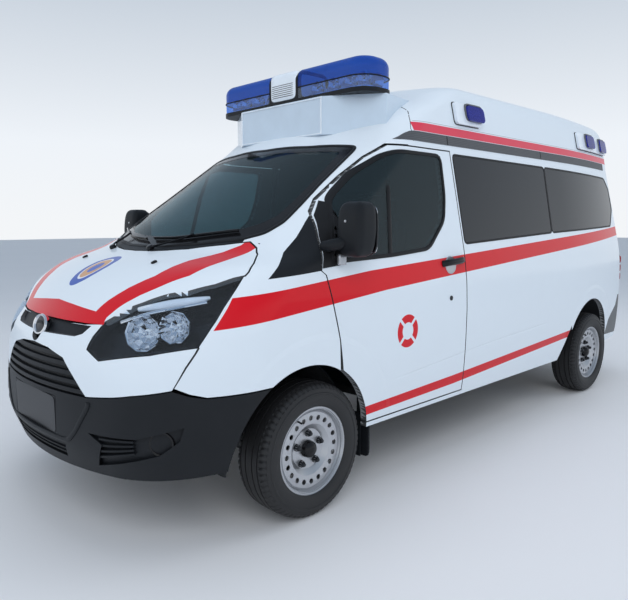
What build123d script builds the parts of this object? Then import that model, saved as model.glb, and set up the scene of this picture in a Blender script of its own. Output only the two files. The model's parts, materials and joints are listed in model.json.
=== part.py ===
from build123d import *
import math
import os

os.makedirs("parts", exist_ok=True)

# Frame: +X forward, +Y left, +Z up, origin on the ground below the middle. Millimetres.

# Driving dimensions
FRONT_AXLE_X = 1680.0
REAR_AXLE_X = -1620.0
HUB_Z = 335.0
TYRE_R = 335.0
TYRE_WIDTH = 215.0
WHEEL_Y = 868.0
ARCH_FRONT_X = 1740.0
ARCH_FRONT_R = 437.0
ARCH_REAR_X = -1590.0
ARCH_REAR_R = 466.0
GAP = 8.0
REAR_GAP = 10.0
SHEET = 6.0
PLASTIC = 20.0
WALL = 40.0
SILL_Z = 366.0
BELT_TOP_Z = 1905.0
FLOOR_Z = 520.0
FLOOR_T = 40.0

# Level sections of the body: height, nose x, drop from nose to side, corner radius, half width, rear corner x
BODY_LEVELS = [
    (310, 2595, 620, 560, 955, -2410),
    (500, 2650, 620, 560, 978, -2430),
    (720, 2645, 640, 570, 990, -2420),
    (900, 2615, 650, 580, 993, -2410),
    (1000, 2540, 600, 530, 990, -2410),
    (1080, 2485, 600, 530, 986, -2410),
    (1150, 2410, 600, 530, 978, -2405),
    (1200, 2330, 590, 520, 972, -2400),
    (1240, 2245, 580, 500, 966, -2395),
    (1270, 2150, 560, 460, 961, -2390),
    (1300, 2050, 520, 400, 955, -2385),
    (1450, 1818, 487, 344, 925, -2370),
    (BELT_TOP_Z, 1130, 400, 277, 833, -2330),
]
# Level sections of the raised roof, in the same columns
ROOF_LEVELS = [
    (BELT_TOP_Z, 1130, 400, 277, 833, -2330),
    (2090, 873, 368, 252, 800, -2325),
    (2200, 640, 350, 240, 772, -2325),
    (2280, 460, 330, 220, 725, -2325),
    (2320, 330, 310, 205, 660, -2310),
    (2338, 200, 300, 200, 580, -2270),
]
SIDE_STRAIGHT_X = -1100.0
SIDE_REAR_R = 8500.0
TAIL_CORNER_R = 200.0
TAIL_ARC_ANGLE = math.radians(6)


def level_arcs(row):
    """Centre, radius and end angles of each arc from the nose to the tail, left half."""
    z, nose, drop, corner, half, rear = row
    turn = 2 * math.atan2(drop - corner, half - corner)
    nose_r = (half - corner) / math.sin(turn) + corner
    bend = math.asin((SIDE_STRAIGHT_X - rear) / SIDE_REAR_R)
    side_c = (SIDE_STRAIGHT_X, half - SIDE_REAR_R)
    end = (rear, side_c[1] + SIDE_REAR_R * math.cos(bend))
    tail_c = (end[0] + TAIL_CORNER_R * math.sin(bend), end[1] - TAIL_CORNER_R * math.cos(bend))
    far = (tail_c[0] - TAIL_CORNER_R * math.cos(TAIL_ARC_ANGLE),
           tail_c[1] + TAIL_CORNER_R * math.sin(TAIL_ARC_ANGLE))
    back_r = far[1] / math.sin(TAIL_ARC_ANGLE)
    back_c = (far[0] + back_r * math.cos(TAIL_ARC_ANGLE), 0)
    quarter = math.pi / 2
    return [
        ((nose - nose_r, 0), nose_r, 0, turn),
        ((nose - drop, half - corner), corner, turn, quarter),
        (side_c, SIDE_REAR_R, quarter, quarter + bend),
        (tail_c, TAIL_CORNER_R, quarter + bend, math.pi - TAIL_ARC_ANGLE),
        (back_c, back_r, math.pi - TAIL_ARC_ANGLE, math.pi),
    ]


def level_face(row, inset, z=None):
    """The closed level section, moved inwards by an inset."""
    arcs = level_arcs(row)
    height = row[0] if z is None else z

    def at(index, angle, side):
        (cx, cy), radius, _, _ = arcs[index]
        r = radius - inset
        return (cx + r * math.cos(angle), side * (cy + r * math.sin(angle)), height)

    def arc(index, side):
        a0, a1 = arcs[index][2:]
        return ThreePointArc(at(index, a0, side), at(index, (a0 + a1) / 2, side), at(index, a1, side))

    edges = [ThreePointArc(at(0, arcs[0][3], -1), at(0, 0, 1), at(0, arcs[0][3], 1))]
    for side in (1, -1):
        edges.append(arc(1, side))
        edges.append(Line(at(1, arcs[1][3], side), at(2, arcs[2][2], side)))
        edges.append(arc(2, side))
        edges.append(arc(3, side))
    edges.append(ThreePointArc(at(4, arcs[4][2], 1), at(4, math.pi, 1), at(4, arcs[4][2], -1)))
    return Face(Wire(edges))


def body_form(inset):
    """The closed body below the raised roof, moved inwards by an inset."""
    return loft([level_face(row, inset) for row in BODY_LEVELS], ruled=True)


def roof_form(inset):
    """The closed raised roof, moved inwards and down by an inset."""
    last = len(ROOF_LEVELS) - 1
    faces = [level_face(row, inset, row[0] - inset * i / last) for i, row in enumerate(ROOF_LEVELS)]
    return loft(faces, ruled=True)


# Prisms that cut panels out of the skins
FAR = 3000.0


def unit(a, b):
    """A direction of length one."""
    length = math.hypot(a, b)
    return (a / length, b / length)


def side_prism(points, y0=-FAR, y1=FAR, round_r=0.0):
    """A prism along Y from points (x, z)."""
    plane = Plane(origin=(0, y0, 0), x_dir=(1, 0, 0), z_dir=(0, -1, 0))
    face = make_face(Polyline(*points, close=True))
    if round_r:
        face = fillet(face.vertices(), round_r)
    return extrude(plane * face, amount=-(y1 - y0))


def front_prism(points, x0, x1, round_r=0.0):
    """A prism along X from points (y, z)."""
    plane = Plane(origin=(x0, 0, 0), x_dir=(0, 1, 0), z_dir=(1, 0, 0))
    face = make_face(Polyline(*points, close=True))
    if round_r:
        face = fillet(face.vertices(), round_r)
    return extrude(plane * face, amount=x1 - x0)


def plan_prism(points, z0, z1, round_r=0.0):
    """A prism along Z from points (x, y)."""
    face = make_face(Polyline(*points, close=True))
    if round_r:
        face = fillet(face.vertices(), round_r)
    return extrude(Plane(origin=(0, 0, z0)) * face, amount=z1 - z0)


def facing_prism(points, direction, depth, growth=0.0):
    """A prism along a direction from space points seen along it."""
    plane = Plane(origin=points[0], z_dir=direction)
    flat = [plane.to_local_coords(Vector(*p)) for p in points]
    outline = grown([(p.X, p.Y) for p in flat], growth)
    return extrude(plane * make_face(Polyline(*outline, close=True)), amount=depth, both=True)


def box(x0, x1, y0, y1, z0, z1):
    """A block between its low and high corners."""
    return Pos((x0 + x1) / 2, (y0 + y1) / 2, (z0 + z1) / 2) * Box(x1 - x0, y1 - y0, z1 - z0)


def rod_y(x, y0, y1, z, radius):
    """A round bar along Y."""
    return Pos(x, (y0 + y1) / 2, z) * Rot(90, 0, 0) * Cylinder(radius, abs(y1 - y0))


def rod_x(x0, x1, y, z, radius):
    """A round bar along X."""
    return Pos((x0 + x1) / 2, y, z) * Rot(0, 90, 0) * Cylinder(radius, abs(x1 - x0))


def rod_z(x, y, z0, z1, radius):
    """A round bar along Z."""
    return Pos(x, y, (z0 + z1) / 2) * Cylinder(radius, z1 - z0)


def rod_between(start, end, radius):
    """A round bar between two points."""
    a, b = Vector(*start), Vector(*end)
    return extrude(Plane(origin=a, z_dir=b - a) * Circle(radius), amount=(b - a).length)


def both_sides(solid):
    """A solid and its mirror image across the middle plane."""
    return Compound(children=[*solids_of(solid), *solids_of(mirror(solid, about=Plane.XZ))])


def solids_of(shape):
    """The separate solids of a shape."""
    return list(shape.solids())


def join(*shapes):
    """Several shapes as one compound of separate solids."""
    found = []
    for shape in shapes:
        found.extend(solids_of(shape))
    return Compound(children=found)


def flip(shape):
    """The mirror image across the middle plane."""
    return mirror(shape, about=Plane.XZ)


NODES = {}


SPECK = 1500.0


def keep(name, shape):
    """Writes a node's file, without specks left by a cut."""
    solids = [s for s in solids_of(shape) if s.volume > SPECK]
    print(name, len(solids), round(sum(s.volume for s in solids) / 1e6, 3))
    NODES[name] = Compound(children=solids) if len(solids) != 1 else solids[0]
    export_step(NODES[name], f"parts/{name}.step")


def keep_pair(name, left):
    """Writes a left node and its mirror image on the right."""
    keep(name.replace("SIDE", "left"), left)
    keep(name.replace("SIDE", "right"), flip(left))


# Skins: the body's form less the form inset by each wall
outer = body_form(0)
inner_sheet = body_form(SHEET)
inner_plastic = body_form(PLASTIC)
inner_wall = body_form(WALL)
sheet_skin = outer - inner_sheet
plastic_skin = outer - inner_plastic
wall_skin = outer - inner_wall

# Side outlines, as (x, z)
DOOR_FRONT_EDGE = [(1632, 1211), (1603, 1190), (1560, 1010), (1525, 867), (1508, 764), (1500, 700)]
DOOR_SAIL_EDGE = [(1545, 1478), (1590, 1374)]
DOOR_TOP_EDGE = [(440, 1868), (936, 1868), (1092, 1793), (1275, 1680), (1463, 1555), (1534, 1490)]
DOOR_REAR_X = 392.0
DOOR_LOW_Z = 398.0
DOOR_LOW_FRONT_X = 1320.0
DOOR_OUTLINE = [
    (DOOR_REAR_X, DOOR_LOW_Z),
    (DOOR_REAR_X, 1868),
    *DOOR_TOP_EDGE,
    *DOOR_SAIL_EDGE,
    *DOOR_FRONT_EDGE,
    (1400, 560),
    (DOOR_LOW_FRONT_X, DOOR_LOW_Z),
]
DOOR_WINDOW = [
    (1085, 1266), (750, 1290), (560, 1450), (515, 1600), (500, 1836),
    (900, 1836), (1010, 1808), (1225, 1700), (1390, 1584), (1440, 1540), (1540, 1330), (1556, 1250),
]
WINDOW_BAR = [(1085, 1240), (1120, 1240), (1028, 1850), (1000, 1850)]
BODY_WINDOWS = [
    [(366, 1309), (362, 1854), (-868, 1848), (-846, 1362)],
    [(-855, 1362), (-877, 1848), (-2215, 1834), (-2330, 1740), (-2350, 1560), (-2200, 1404)],
]
SLIDING_DOOR = [(340, 470), (340, 1868), (-930, 1868), (-930, 470)]
TAIL_HALF_OPENING = 735.0
TAIL_LOW_Z = 560.0
TAIL_HIGH_Z = 1850.0


def grown(points, amount):
    """An outline moved outwards by an amount, each corner along its mitre."""
    area = sum(a[0] * b[1] - b[0] * a[1] for a, b in zip(points, points[1:] + points[:1]))
    sign = 1 if area > 0 else -1
    moved = []
    for i, here in enumerate(points):
        before = points[i - 1]
        after = points[(i + 1) % len(points)]
        u = unit(here[0] - before[0], here[1] - before[1])
        v = unit(after[0] - here[0], after[1] - here[1])
        across = (u[1] + v[1], -u[0] - v[0])
        scale = sign * amount * 2 / max(across[0] ** 2 + across[1] ** 2, 1.0)
        moved.append((here[0] + across[0] * scale, here[1] + across[1] * scale))
    return moved


front_arch = rod_y(ARCH_FRONT_X, -FAR, FAR, HUB_Z, ARCH_FRONT_R)
front_arch_gap = rod_y(ARCH_FRONT_X, -FAR, FAR, HUB_Z, ARCH_FRONT_R + GAP)
front_arch_well = front_arch + box(
    ARCH_FRONT_X - ARCH_FRONT_R, ARCH_FRONT_X + ARCH_FRONT_R, -FAR, FAR, 0, HUB_Z)
rear_arch = rod_y(ARCH_REAR_X, -FAR, FAR, HUB_Z, ARCH_REAR_R)
rear_arch_well = (
    rear_arch
    + box(ARCH_REAR_X - ARCH_REAR_R, ARCH_REAR_X + ARCH_REAR_R, -FAR, FAR, 0, HUB_Z)
    + side_prism([(-1180, 620), (-985, 366), (-1300, 340)])
)
left_half = box(-FAR, FAR, 0, FAR, 0, FAR)

# Front edges, seen from above and from the side
HOOD_EDGE = [
    (2546, 0), (2539, 178), (2514, 343), (2484, 460), (2440, 523), (2373, 611), (2296, 694), (2242, 760),
    (2145, 823), (2022, 875), (1999, 869), (1944, 838), (1881, 786), (1854, 741), (1841, 673), (1909, 560),
    (1996, 379), (2062, 150), (2074, 0),
]
HOOD_LIP_Z = 992.0
SCREEN_EDGE = [
    (1160, 0), (1130, 350), (1052, 655), (1078, 673), (1366, 690), (1521, 711), (1640, 724), (1668, 722),
    (1750, 690), (1836, 600), (1935, 400), (2000, 180), (2015, 0),
]
LAMP_EDGE = [
    (2562, 445, 893), (2547, 525, 852), (2433, 757, 893), (2286, 889, 923), (2208, 906, 1024),
    (2087, 895, 1155), (2022, 875, 1209), (2145, 823, 1175), (2242, 760, 1147), (2296, 694, 1136),
    (2373, 611, 1097), (2440, 523, 1048), (2481, 464, 1006), (2528, 449, 946),
]
LAMP_FACING = (0.72, 0.62, 0.30)
BUMPER_LINE = [(2700, 690), (2585, 690), (2500, 722), (2385, 749), (2330, 725), (2270, 712), (1900, 710)]
FASCIA_GAP_LINE = [(2286, 923), (2337, 842), (2385, 749)]
GRILLE_EDGE = [(0, 880), (150, 870), (290, 840), (381, 766), (464, 690), (0, 690)]
SLOT_EDGE = [(0, 928), (330, 936), (372, 950), (395, 984), (0, 984)]
SAIL_EDGE = [(1942, 1189), (1687, 1368), (1545, 1478), (1590, 1374), (1632, 1211)]


def mirror_points(points):
    """A half outline and its mirror across the first coordinate of zero."""
    return points + [(-a, b) for a, b in reversed(points) if a != 0]


def mirror_plan(points):
    """A left half plan and its mirror to the right."""
    return points + [(a, -b) for a, b in reversed(points) if b != 0]


hood_prism = plan_prism(mirror_plan(HOOD_EDGE), HOOD_LIP_Z, 1500)
hood_hole = plan_prism(grown(mirror_plan(HOOD_EDGE), GAP), HOOD_LIP_Z - GAP, 1500)
screen_prism = plan_prism(mirror_plan(SCREEN_EDGE), 1280, 1897)
lamp_prism = facing_prism(LAMP_EDGE, LAMP_FACING, 600)
lamp_hole = facing_prism(LAMP_EDGE, LAMP_FACING, 600, 3)
lamp_holes = lamp_hole + flip(lamp_hole)
grille_prism = front_prism(mirror_points(GRILLE_EDGE), 2300, 2700)
slot_prism = front_prism(mirror_points(SLOT_EDGE), 2300, 2700)
above_bumper = side_prism([*BUMPER_LINE, (1900, 2400), (2700, 2400)])
ahead_of_gap = side_prism([*FASCIA_GAP_LINE, (2385, 200), (2700, 200), (2700, 1000), (2286, 1000)])


# Bonnet and front panels
HINGE_BONNET = (1800.0, 1335.0)
bonnet = plastic_skin & hood_prism
PIN_R = 5.0
PIN_FIT = 0.4
BONNET_ARM = [(0, 0), (18, -42), (60, -52), (92, -14)]


def bar_chain(points, origin, width, y0, y1):
    """Straight bars joined end to end in a side plane."""
    solid = None
    for (x0, z0), (x1, z1) in zip(points, points[1:]):
        ux, uz = unit(x1 - x0, z1 - z0)
        nx, nz = -uz * width / 2, ux * width / 2
        a = (origin[0] + x0 - ux * width / 3, origin[1] + z0 - uz * width / 3)
        b = (origin[0] + x1 + ux * width / 3, origin[1] + z1 + uz * width / 3)
        high = [(a[0] + nx, a[1] + nz), (b[0] + nx, b[1] + nz)]
        corners = [*high, (b[0] - nx, b[1] - nz), (a[0] - nx, a[1] - nz)]
        piece = side_prism(corners, y0, y1)
        solid = piece if solid is None else solid + piece
    return solid


ARM_Y = (700.0, 710.0)
arm = bar_chain(BONNET_ARM, HINGE_BONNET, 11, *ARM_Y) + rod_y(HINGE_BONNET[0], *ARM_Y, HINGE_BONNET[1], 10)
arm = (arm & inner_sheet) - rod_y(HINGE_BONNET[0], 0, FAR, HINGE_BONNET[1], PIN_R + PIN_FIT)
bonnet = bonnet + arm + flip(arm)
keep("bonnet_panel", bonnet)

front_zone = box(2200, 2700, -FAR, FAR, 0, 1000)
BADGE_Z = 930.0
BADGE_R = 48.0
badge_hole = rod_x(2300, 2700, 0, BADGE_Z, BADGE_R)
fascia = (plastic_skin & above_bumper & ahead_of_gap & front_zone) - hood_hole - lamp_holes
keep("front_fascia", fascia - grille_prism - slot_prism - badge_hole)
behind_skin = inner_plastic - inner_wall
grille = behind_skin & front_prism(grown(mirror_points(GRILLE_EDGE), 8), 2300, 2700)
slot_back = behind_skin & front_prism(grown(mirror_points(SLOT_EDGE), 4), 2300, 2700)
slot_back = slot_back & box(2300, 2700, -FAR, FAR, 885, HOOD_LIP_Z - GAP)
GRILLE_BARS = [705, 742, 779, 816, 852]
bar_skin = plastic_skin & grille_prism
for bar_z in GRILLE_BARS:
    grille = grille + (bar_skin & box(2300, 2700, -FAR, FAR, bar_z - 9, bar_z + 9))
badge = rod_x(2540, 2586, 0, BADGE_Z, BADGE_R - 0.3)
keep("grille", grille + slot_back + badge)

lamp_housing_form = body_form(100)
lens = (sheet_skin & lamp_prism & left_half) - hood_hole
housing = ((inner_sheet - lamp_housing_form) & lamp_prism & left_half) - hood_hole
BOWLS = [((2470, 560, 950), 62), ((2385, 690, 985), 50), ((2215, 815, 1105), 45)]
for centre, radius in BOWLS:
    plane = Plane(origin=centre, z_dir=LAMP_FACING)
    housing = housing - (plane * Cone(radius * 0.55, radius, 60, align=(Align.CENTER, Align.CENTER, Align.MAX)))
    housing = housing - extrude(plane * Circle(radius), amount=200)
keep("headlamp_lenses", both_sides(lens))

# Front bumper with its recesses
BUMPER_TOP = [(2700, 684), (2585, 684), (2500, 716), (2385, 743), (2330, 719), (2270, 706), (1900, 704)]
bumper = plastic_skin & side_prism([*BUMPER_TOP, (1900, 366), (2177, 366), (2700, 312)])
bumper = bumper - front_arch_well
FOG_RECESS = [
    (2568, 563, 492), (2591, 481, 531), (2498, 723, 537), (2352, 874, 590), (2369, 863, 531),
    (2428, 799, 469), (2550, 496, 378),
]
FOG_FACING = (0.77, 0.64, 0.0)
recess = facing_prism(FOG_RECESS, FOG_FACING, 300)
recess_back = facing_prism(FOG_RECESS, FOG_FACING, 300, 8)
intake = front_prism([(-300, 445), (300, 445), (270, 372), (-270, 372)], 2300, 2700)
intake_back = front_prism([(-308, 453), (308, 453), (278, 364), (-278, 364)], 2300, 2700)
PLATE_HALF = 240.0
PLATE_Z = (480.0, 655.0)
plate_pocket = box(2629, 2700, -PLATE_HALF - 6, PLATE_HALF + 6, PLATE_Z[0] - 6, PLATE_Z[1] + 6)
plate_back = box(2300, 2700, -PLATE_HALF - 14, PLATE_HALF + 14, PLATE_Z[0] - 14, PLATE_Z[1] + 14)
bumper = bumper - recess - flip(recess) - intake
bumper = bumper + (behind_skin & recess_back) + (behind_skin & flip(recess_back)) + (behind_skin & intake_back)
bumper = bumper + ((outer - inner_wall) & plate_back)
bumper = bumper - plate_pocket
PLATE_HOLES_Y = 105.0
PLATE_HOLE_R = 3.0
plate_hole_z = (PLATE_Z[0] + PLATE_Z[1]) / 2 + 55
plate = box(2629, 2633, -PLATE_HALF, PLATE_HALF, *PLATE_Z)
for y in (-PLATE_HOLES_Y, PLATE_HOLES_Y):
    hole = rod_x(2500, 2700, y, plate_hole_z, PLATE_HOLE_R)
    bumper = bumper - hole
    plate = plate - hole
keep("front_bumper", bumper)
keep("front_plate", plate)
fog = Plane(origin=(2434, 805, 515), z_dir=FOG_FACING) * Cylinder(44, 60)
fog = (fog & inner_sheet) - behind_skin - bumper
keep("front_lamp_housings", join(both_sides(housing), both_sides(fog)))

# Front door hinges
HINGE_DOOR = (1500.0, 958.0)
DOOR_HINGES = [840.0, 1120.0]
LINK_R = 9.0
LINK_Z = (21.0, 38.0)
SWING_GAP = 4.0
DOOR_OPEN = math.radians(65)


def swing_radius(z):
    """The room about its hinge that the front edge and the open face of the door need at a height, left."""
    edge_x = path_value([(at_z, at_x) for at_x, at_z in reversed(DOOR_FRONT_EDGE)], z)
    depth = path_value([(row[0], row[4]) for row in BODY_LEVELS], z) - HINGE_DOOR[1]
    face = (depth * (1 - math.cos(DOOR_OPEN)) + SWING_GAP) / math.sin(DOOR_OPEN)
    return max(math.hypot(edge_x - HINGE_DOOR[0], depth) + SWING_GAP, math.hypot(face, depth))


def path_value(points, at):
    """A straight-line reading between points (place, value)."""
    for (a, first), (b, second) in zip(points, points[1:]):
        if at <= b:
            return first + (second - first) * (at - a) / (b - a)
    return points[-1][1]


SWING_Z = [680.0, 764.0, 867.0]
swing_room = None
for z0, z1 in zip(SWING_Z, SWING_Z[1:]):
    room = Pos(*HINGE_DOOR, (z0 + z1) / 2) * Cone(swing_radius(z0), swing_radius(z1), z1 - z0)
    swing_room = room if swing_room is None else swing_room + room

# Fenders, sails and cowl
SAIL = [(1942, 1189), (1687, 1368), (1556, 1474), (1600, 1374), (1641, 1211)]
sail_prism = side_prism(SAIL)
FENDER_OUTLINE = [
    (1509, 690), (1516, 764), (1533, 867), (1568, 1010), (1611, 1190), (1641, 1211), (1687, 1368),
    (1680, 1373), (1680, 1500), (2000, 1500), (2400, 1260), (2280, 920), (2331, 840), (2377, 757),
    (2330, 731), (2270, 713), (1900, 711), (1740, 700),
]
fender = (sheet_skin & side_prism(FENDER_OUTLINE) & left_half) - front_arch - hood_hole - lamp_hole
fender = fender - sail_prism - screen_prism - box(1900, 2700, -FAR, 500, 0, 1500) - swing_room
COWL = [
    (2100, 0), (2090, 150), (2030, 379), (1940, 560), (1878, 645), (1785, 612), (1800, 590), (1900, 390),
    (1970, 180), (1985, 0),
]
cowl_zone = plan_prism(mirror_plan(COWL), 1240, 1500)
cowl = (plastic_skin & cowl_zone) - hood_hole - screen_prism
arm_slot = bar_chain(BONNET_ARM, HINGE_BONNET, 26, ARM_Y[0] - 8, ARM_Y[1] + 8)
arm_slot = arm_slot + flip(arm_slot)
keep("cowl_panel", cowl - arm_slot)
keep("front_fenders", both_sides(fender - cowl_zone))
sail = (sheet_skin & sail_prism & left_half) - screen_prism - hood_hole
keep("sail_panels", both_sides(sail))
keep("windscreen_glass", sheet_skin & screen_prism)
CAB_FRAME = [
    (1680, 1373), (1556, 1474), (1541, 1497), (1467, 1562), (1279, 1688), (1095, 1801), (940, 1880),
    (800, 1880), (800, 1905), (1680, 1905),
]
keep("cab_frame", (wall_skin & side_prism(CAB_FRAME)) - screen_prism - sail_prism)

# Body sides
SIDE_OUTLINE = [
    (-2700, 366), (1330, 366), (1330, 390), (384, 390), (384, 1876), (800, 1876), (800, 1905), (-2700, 1905),
]
TAIL_OPENING = [
    (-735, TAIL_LOW_Z), (-735, 1100), (-600, TAIL_HIGH_Z), (600, TAIL_HIGH_Z), (735, 1100), (735, TAIL_LOW_Z),
]
TAIL_FRAME = [
    (-735, 300), (-735, 1100), (-600, TAIL_HIGH_Z), (-600, 1905), (600, 1905), (600, TAIL_HIGH_Z), (735, 1100),
    (735, 300),
]
tail_opening = front_prism(TAIL_OPENING, -2800, -2300)
tail_zone = front_prism(TAIL_FRAME, -2800, -2300)
REAR_BUMPER = [
    (-2046, 430), (-2046, 462), (-2110, 560), (-2190, 610), (-2320, 672), (-2382, 765), (-2750, 765),
    (-2750, 400), (-2500, 400),
]
rear_bumper_zone = side_prism(REAR_BUMPER)
TAIL_LAMP = [(752, 860), (865, 860), (860, 1140), (745, 1140)]
tail_lamp_prism = front_prism(TAIL_LAMP, -2800, -2440)
windows = [side_prism(points, round_r=24) for points in BODY_WINDOWS]
side = (wall_skin & side_prism(SIDE_OUTLINE)) - front_arch_gap - rear_arch_well
side = side - tail_zone - tail_opening - rear_bumper_zone
for window in windows:
    side = side - window
right_half = box(-FAR, FAR, -FAR, 0, 0, FAR)
left_side = (side & left_half) - tail_lamp_prism
right_side = (side & right_half) - flip(tail_lamp_prism) - side_prism(grown(SLIDING_DOOR, GAP))
HINGE_REAR = (-2612.0, 712.0)
REAR_HINGES = [800.0, 1180.0]
HINGE_H = 40.0


def rear_hinge_bracket(z):
    """The fixed knuckle and arm of one rear door hinge, left."""
    x, y = HINGE_REAR
    knuckle = rod_z(x, y, z + HINGE_H / 2 + 1, z + HINGE_H + 10, 10)
    arm = box(x, -2500, y + 22, y + 34, z + HINGE_H / 2 + 1, z + HINGE_H + 10)
    arm = arm + box(x - 8, x + 8, y, y + 34, z + HINGE_H / 2 + 1, z + HINGE_H + 10)
    foot = box(-2575, -2500, y + 28, y + 66, z + HINGE_H / 2 + 1, z + HINGE_H + 10)
    pin = rod_z(x, y, z - HINGE_H / 2, z + HINGE_H, PIN_R)
    return (knuckle + arm + foot + pin) - inner_plastic


hinge_set = rear_hinge_bracket(REAR_HINGES[0]) + rear_hinge_bracket(REAR_HINGES[1])
keep("body_side_left", left_side + hinge_set)
keep("body_side_right", right_side + flip(hinge_set))
sliding = wall_skin & side_prism(SLIDING_DOOR, -FAR, 0)
for window in windows:
    sliding = sliding - window
keep("sliding_door", sliding - rear_arch_well)
glass = None
for window in windows:
    pane = (sheet_skin & window & left_half) - tail_zone
    glass = pane if glass is None else join(glass, pane)
sliding_gap = side_prism(grown(SLIDING_DOOR, GAP)) - side_prism(SLIDING_DOOR)
keep("side_window_glass", join(glass, flip(glass) - sliding_gap))
keep("tail_frame", (wall_skin & tail_zone) - tail_opening - rear_bumper_zone)
tail_lamp = plastic_skin & tail_lamp_prism
keep("tail_lamps", both_sides(tail_lamp))
TAIL_X = -2646.3
step = box(TAIL_X, -2590, -560, 560, 455, 520)
bumper_rear = (plastic_skin & rear_bumper_zone) - rear_arch_well
bumper_rear = bumper_rear - box(-2800, -2300, -743, 743, TAIL_LOW_Z - GAP, 900)
keep("rear_bumper", bumper_rear + (step - inner_plastic))

# Rear doors
REAR_DOOR = [(4, 568), (727, 568), (727, 1099), (593, 1842), (4, 1842)]
REAR_WINDOW = [(70, 1180), (640, 1180), (540, 1740), (70, 1740)]
rear_window = front_prism(REAR_WINDOW, -2800, -2300, round_r=30)
rear_door = (wall_skin & front_prism(REAR_DOOR, -2800, -2300)) - rear_window


def rear_hinge_lug(z):
    """The moving arm of one rear door hinge, left."""
    x, y = HINGE_REAR
    low, high = z - HINGE_H / 2, z + HINGE_H / 2
    lug = rod_z(x, y, low, high, 10) + box(x, -2540, y - 34, y - 6, low, high)
    return (lug - inner_plastic) - rod_z(x, y, low - 1, high + 1, PIN_R + PIN_FIT)


rear_door = rear_door + rear_hinge_lug(REAR_HINGES[0]) + rear_hinge_lug(REAR_HINGES[1])
REAR_HANDLE = (-2645.0, -2560.0, 44.0, 84.0, 900.0, 1010.0)
handle = box(*REAR_HANDLE) - inner_plastic
keep("rear_door_left", rear_door)
keep("rear_door_right", flip(rear_door + handle))
keep_pair("rear_glass_SIDE", sheet_skin & rear_window)

# Front doors
door_prism = side_prism(DOOR_OUTLINE)
window_prism = side_prism(DOOR_WINDOW)
door = (wall_skin & door_prism & left_half) - front_arch_gap - window_prism


def door_lug(z):
    """The moving lug of one front door hinge, left."""
    x, y = HINGE_DOOR
    lug = rod_z(x, y, z - 20, z + 20, 12) + box(x - 12, x + 12, y, y + 26, z - 20, z + 20)
    return lug & inner_sheet


door = door + door_lug(DOOR_HINGES[0]) + door_lug(DOOR_HINGES[1])
for z in DOOR_HINGES:
    door = door - rod_z(*HINGE_DOOR, z - 30, z + 60, PIN_R + PIN_FIT)
    pocket = box(HINGE_DOOR[0] - LINK_R - 4, 1660, 850, HINGE_DOOR[1] + 20, z + LINK_Z[0] - 3, z + LINK_Z[1] + 3)
    door = door - (pocket & inner_sheet)
keep_pair("door_panel_SIDE", door)
keep_pair("door_glass_SIDE", sheet_skin & window_prism & left_half)
MIRROR_BOX = (1410.0, 1550.0, 968.0, 1136.0, 1272.0, 1540.0)
head = box(*MIRROR_BOX)
head = fillet(head.edges().filter_by(Axis.Y), 34)
head = fillet(head.faces().sort_by(Axis.X)[-1].edges(), 30)
stalk = box(1562, 1594, 900, 998, 1286, 1330) + box(1525, 1594, 974, 998, 1286, 1330)
mirror_arm = stalk - outer
keep_pair("mirror_SIDE", head + mirror_arm)

# Raised roof, sign and lamps
roof_outer = roof_form(0)
roof_shell = roof_outer - roof_form(WALL)
CAP_JOINT = [(748, 1800), (748, 1895), (738, 1979), (700, 2053), (650, 2130), (600, 2200), (570, 2400)]
CAP_GAP = 4.0
cap_zone = side_prism([*CAP_JOINT, (1300, 2400), (1300, 1800)])
cap_cut = side_prism([*[(x - CAP_GAP, z) for x, z in CAP_JOINT], (1300, 2400), (1300, 1800)])
keep("roof_front_cap", roof_shell & cap_zone)
keep("high_roof", roof_shell - cap_cut)
SIGN = [
    (1040, 375), (830, 700), (500, 640), (500, -640), (830, -700), (1040, -375),
]
SIGN_Z = (1958.0, 2180.0)
sign = plan_prism(SIGN, *SIGN_Z) - roof_outer
keep("roof_sign", sign)
LAMPS = [(183, -17, 2080, 2178), (-1721, -1920, 2071, 2175), (-2090, -2280, 2062, 2170)]
pods = None
lenses = None
roof_grown = roof_form(-24)
roof_lens_form = roof_form(-44)
POD_AREAS = [(290, 0, 2052, 2188), (-1560, -2310, 2046, 2182)]
for x1, x0, z0, z1 in POD_AREAS:
    pod = ((roof_grown - roof_outer) & side_prism([(x0, z0), (x1, z0), (x1, z1), (x0, z1)], 0, FAR, round_r=24))
    pods = pod if pods is None else join(pods, pod)
for x1, x0, z0, z1 in LAMPS:
    area = side_prism([(x0, z0), (x1, z0), (x1, z1), (x0, z1)], 0, FAR, round_r=30)
    lens_piece = (roof_lens_form - roof_grown) & area
    lenses = lens_piece if lenses is None else join(lenses, lens_piece)
keep("roof_lamp_pods", both_sides(pods))
keep("roof_lamp_lenses", both_sides(lenses))
BAR_X = (710.0, 1005.0)
BAR_HALF = 690.0
BAR_Z = (2180.0, 2206.0, 2388.0)
BAR_END_R = 125.0
BAR_TOP_R = 62.0
SPEAKER_HALF = 135.0
bar_base = box(*BAR_X, -BAR_HALF, BAR_HALF, BAR_Z[0], BAR_Z[1])
bar_base = fillet(bar_base.edges().filter_by(Axis.Z), BAR_END_R)
speaker = box(BAR_X[0] + 16, BAR_X[1] - 1, -SPEAKER_HALF, SPEAKER_HALF, BAR_Z[1], BAR_Z[2] - 6)
speaker = fillet(speaker.edges().filter_by(Axis.Y).group_by(Axis.Z)[-1], BAR_TOP_R)
keep("light_bar_base", bar_base + speaker)
dome = box(BAR_X[0] + 4, BAR_X[1] - 4, SPEAKER_HALF, BAR_HALF - 4, BAR_Z[1], BAR_Z[2])
dome = fillet(dome.edges().filter_by(Axis.Z).group_by(Axis.Y)[-1], BAR_END_R)
dome_rim = [edge for edge in dome.faces().sort_by(Axis.Z)[-1].edges() if edge.center().Y > SPEAKER_HALF + 1]
dome = fillet(dome_rim, BAR_TOP_R)
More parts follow.
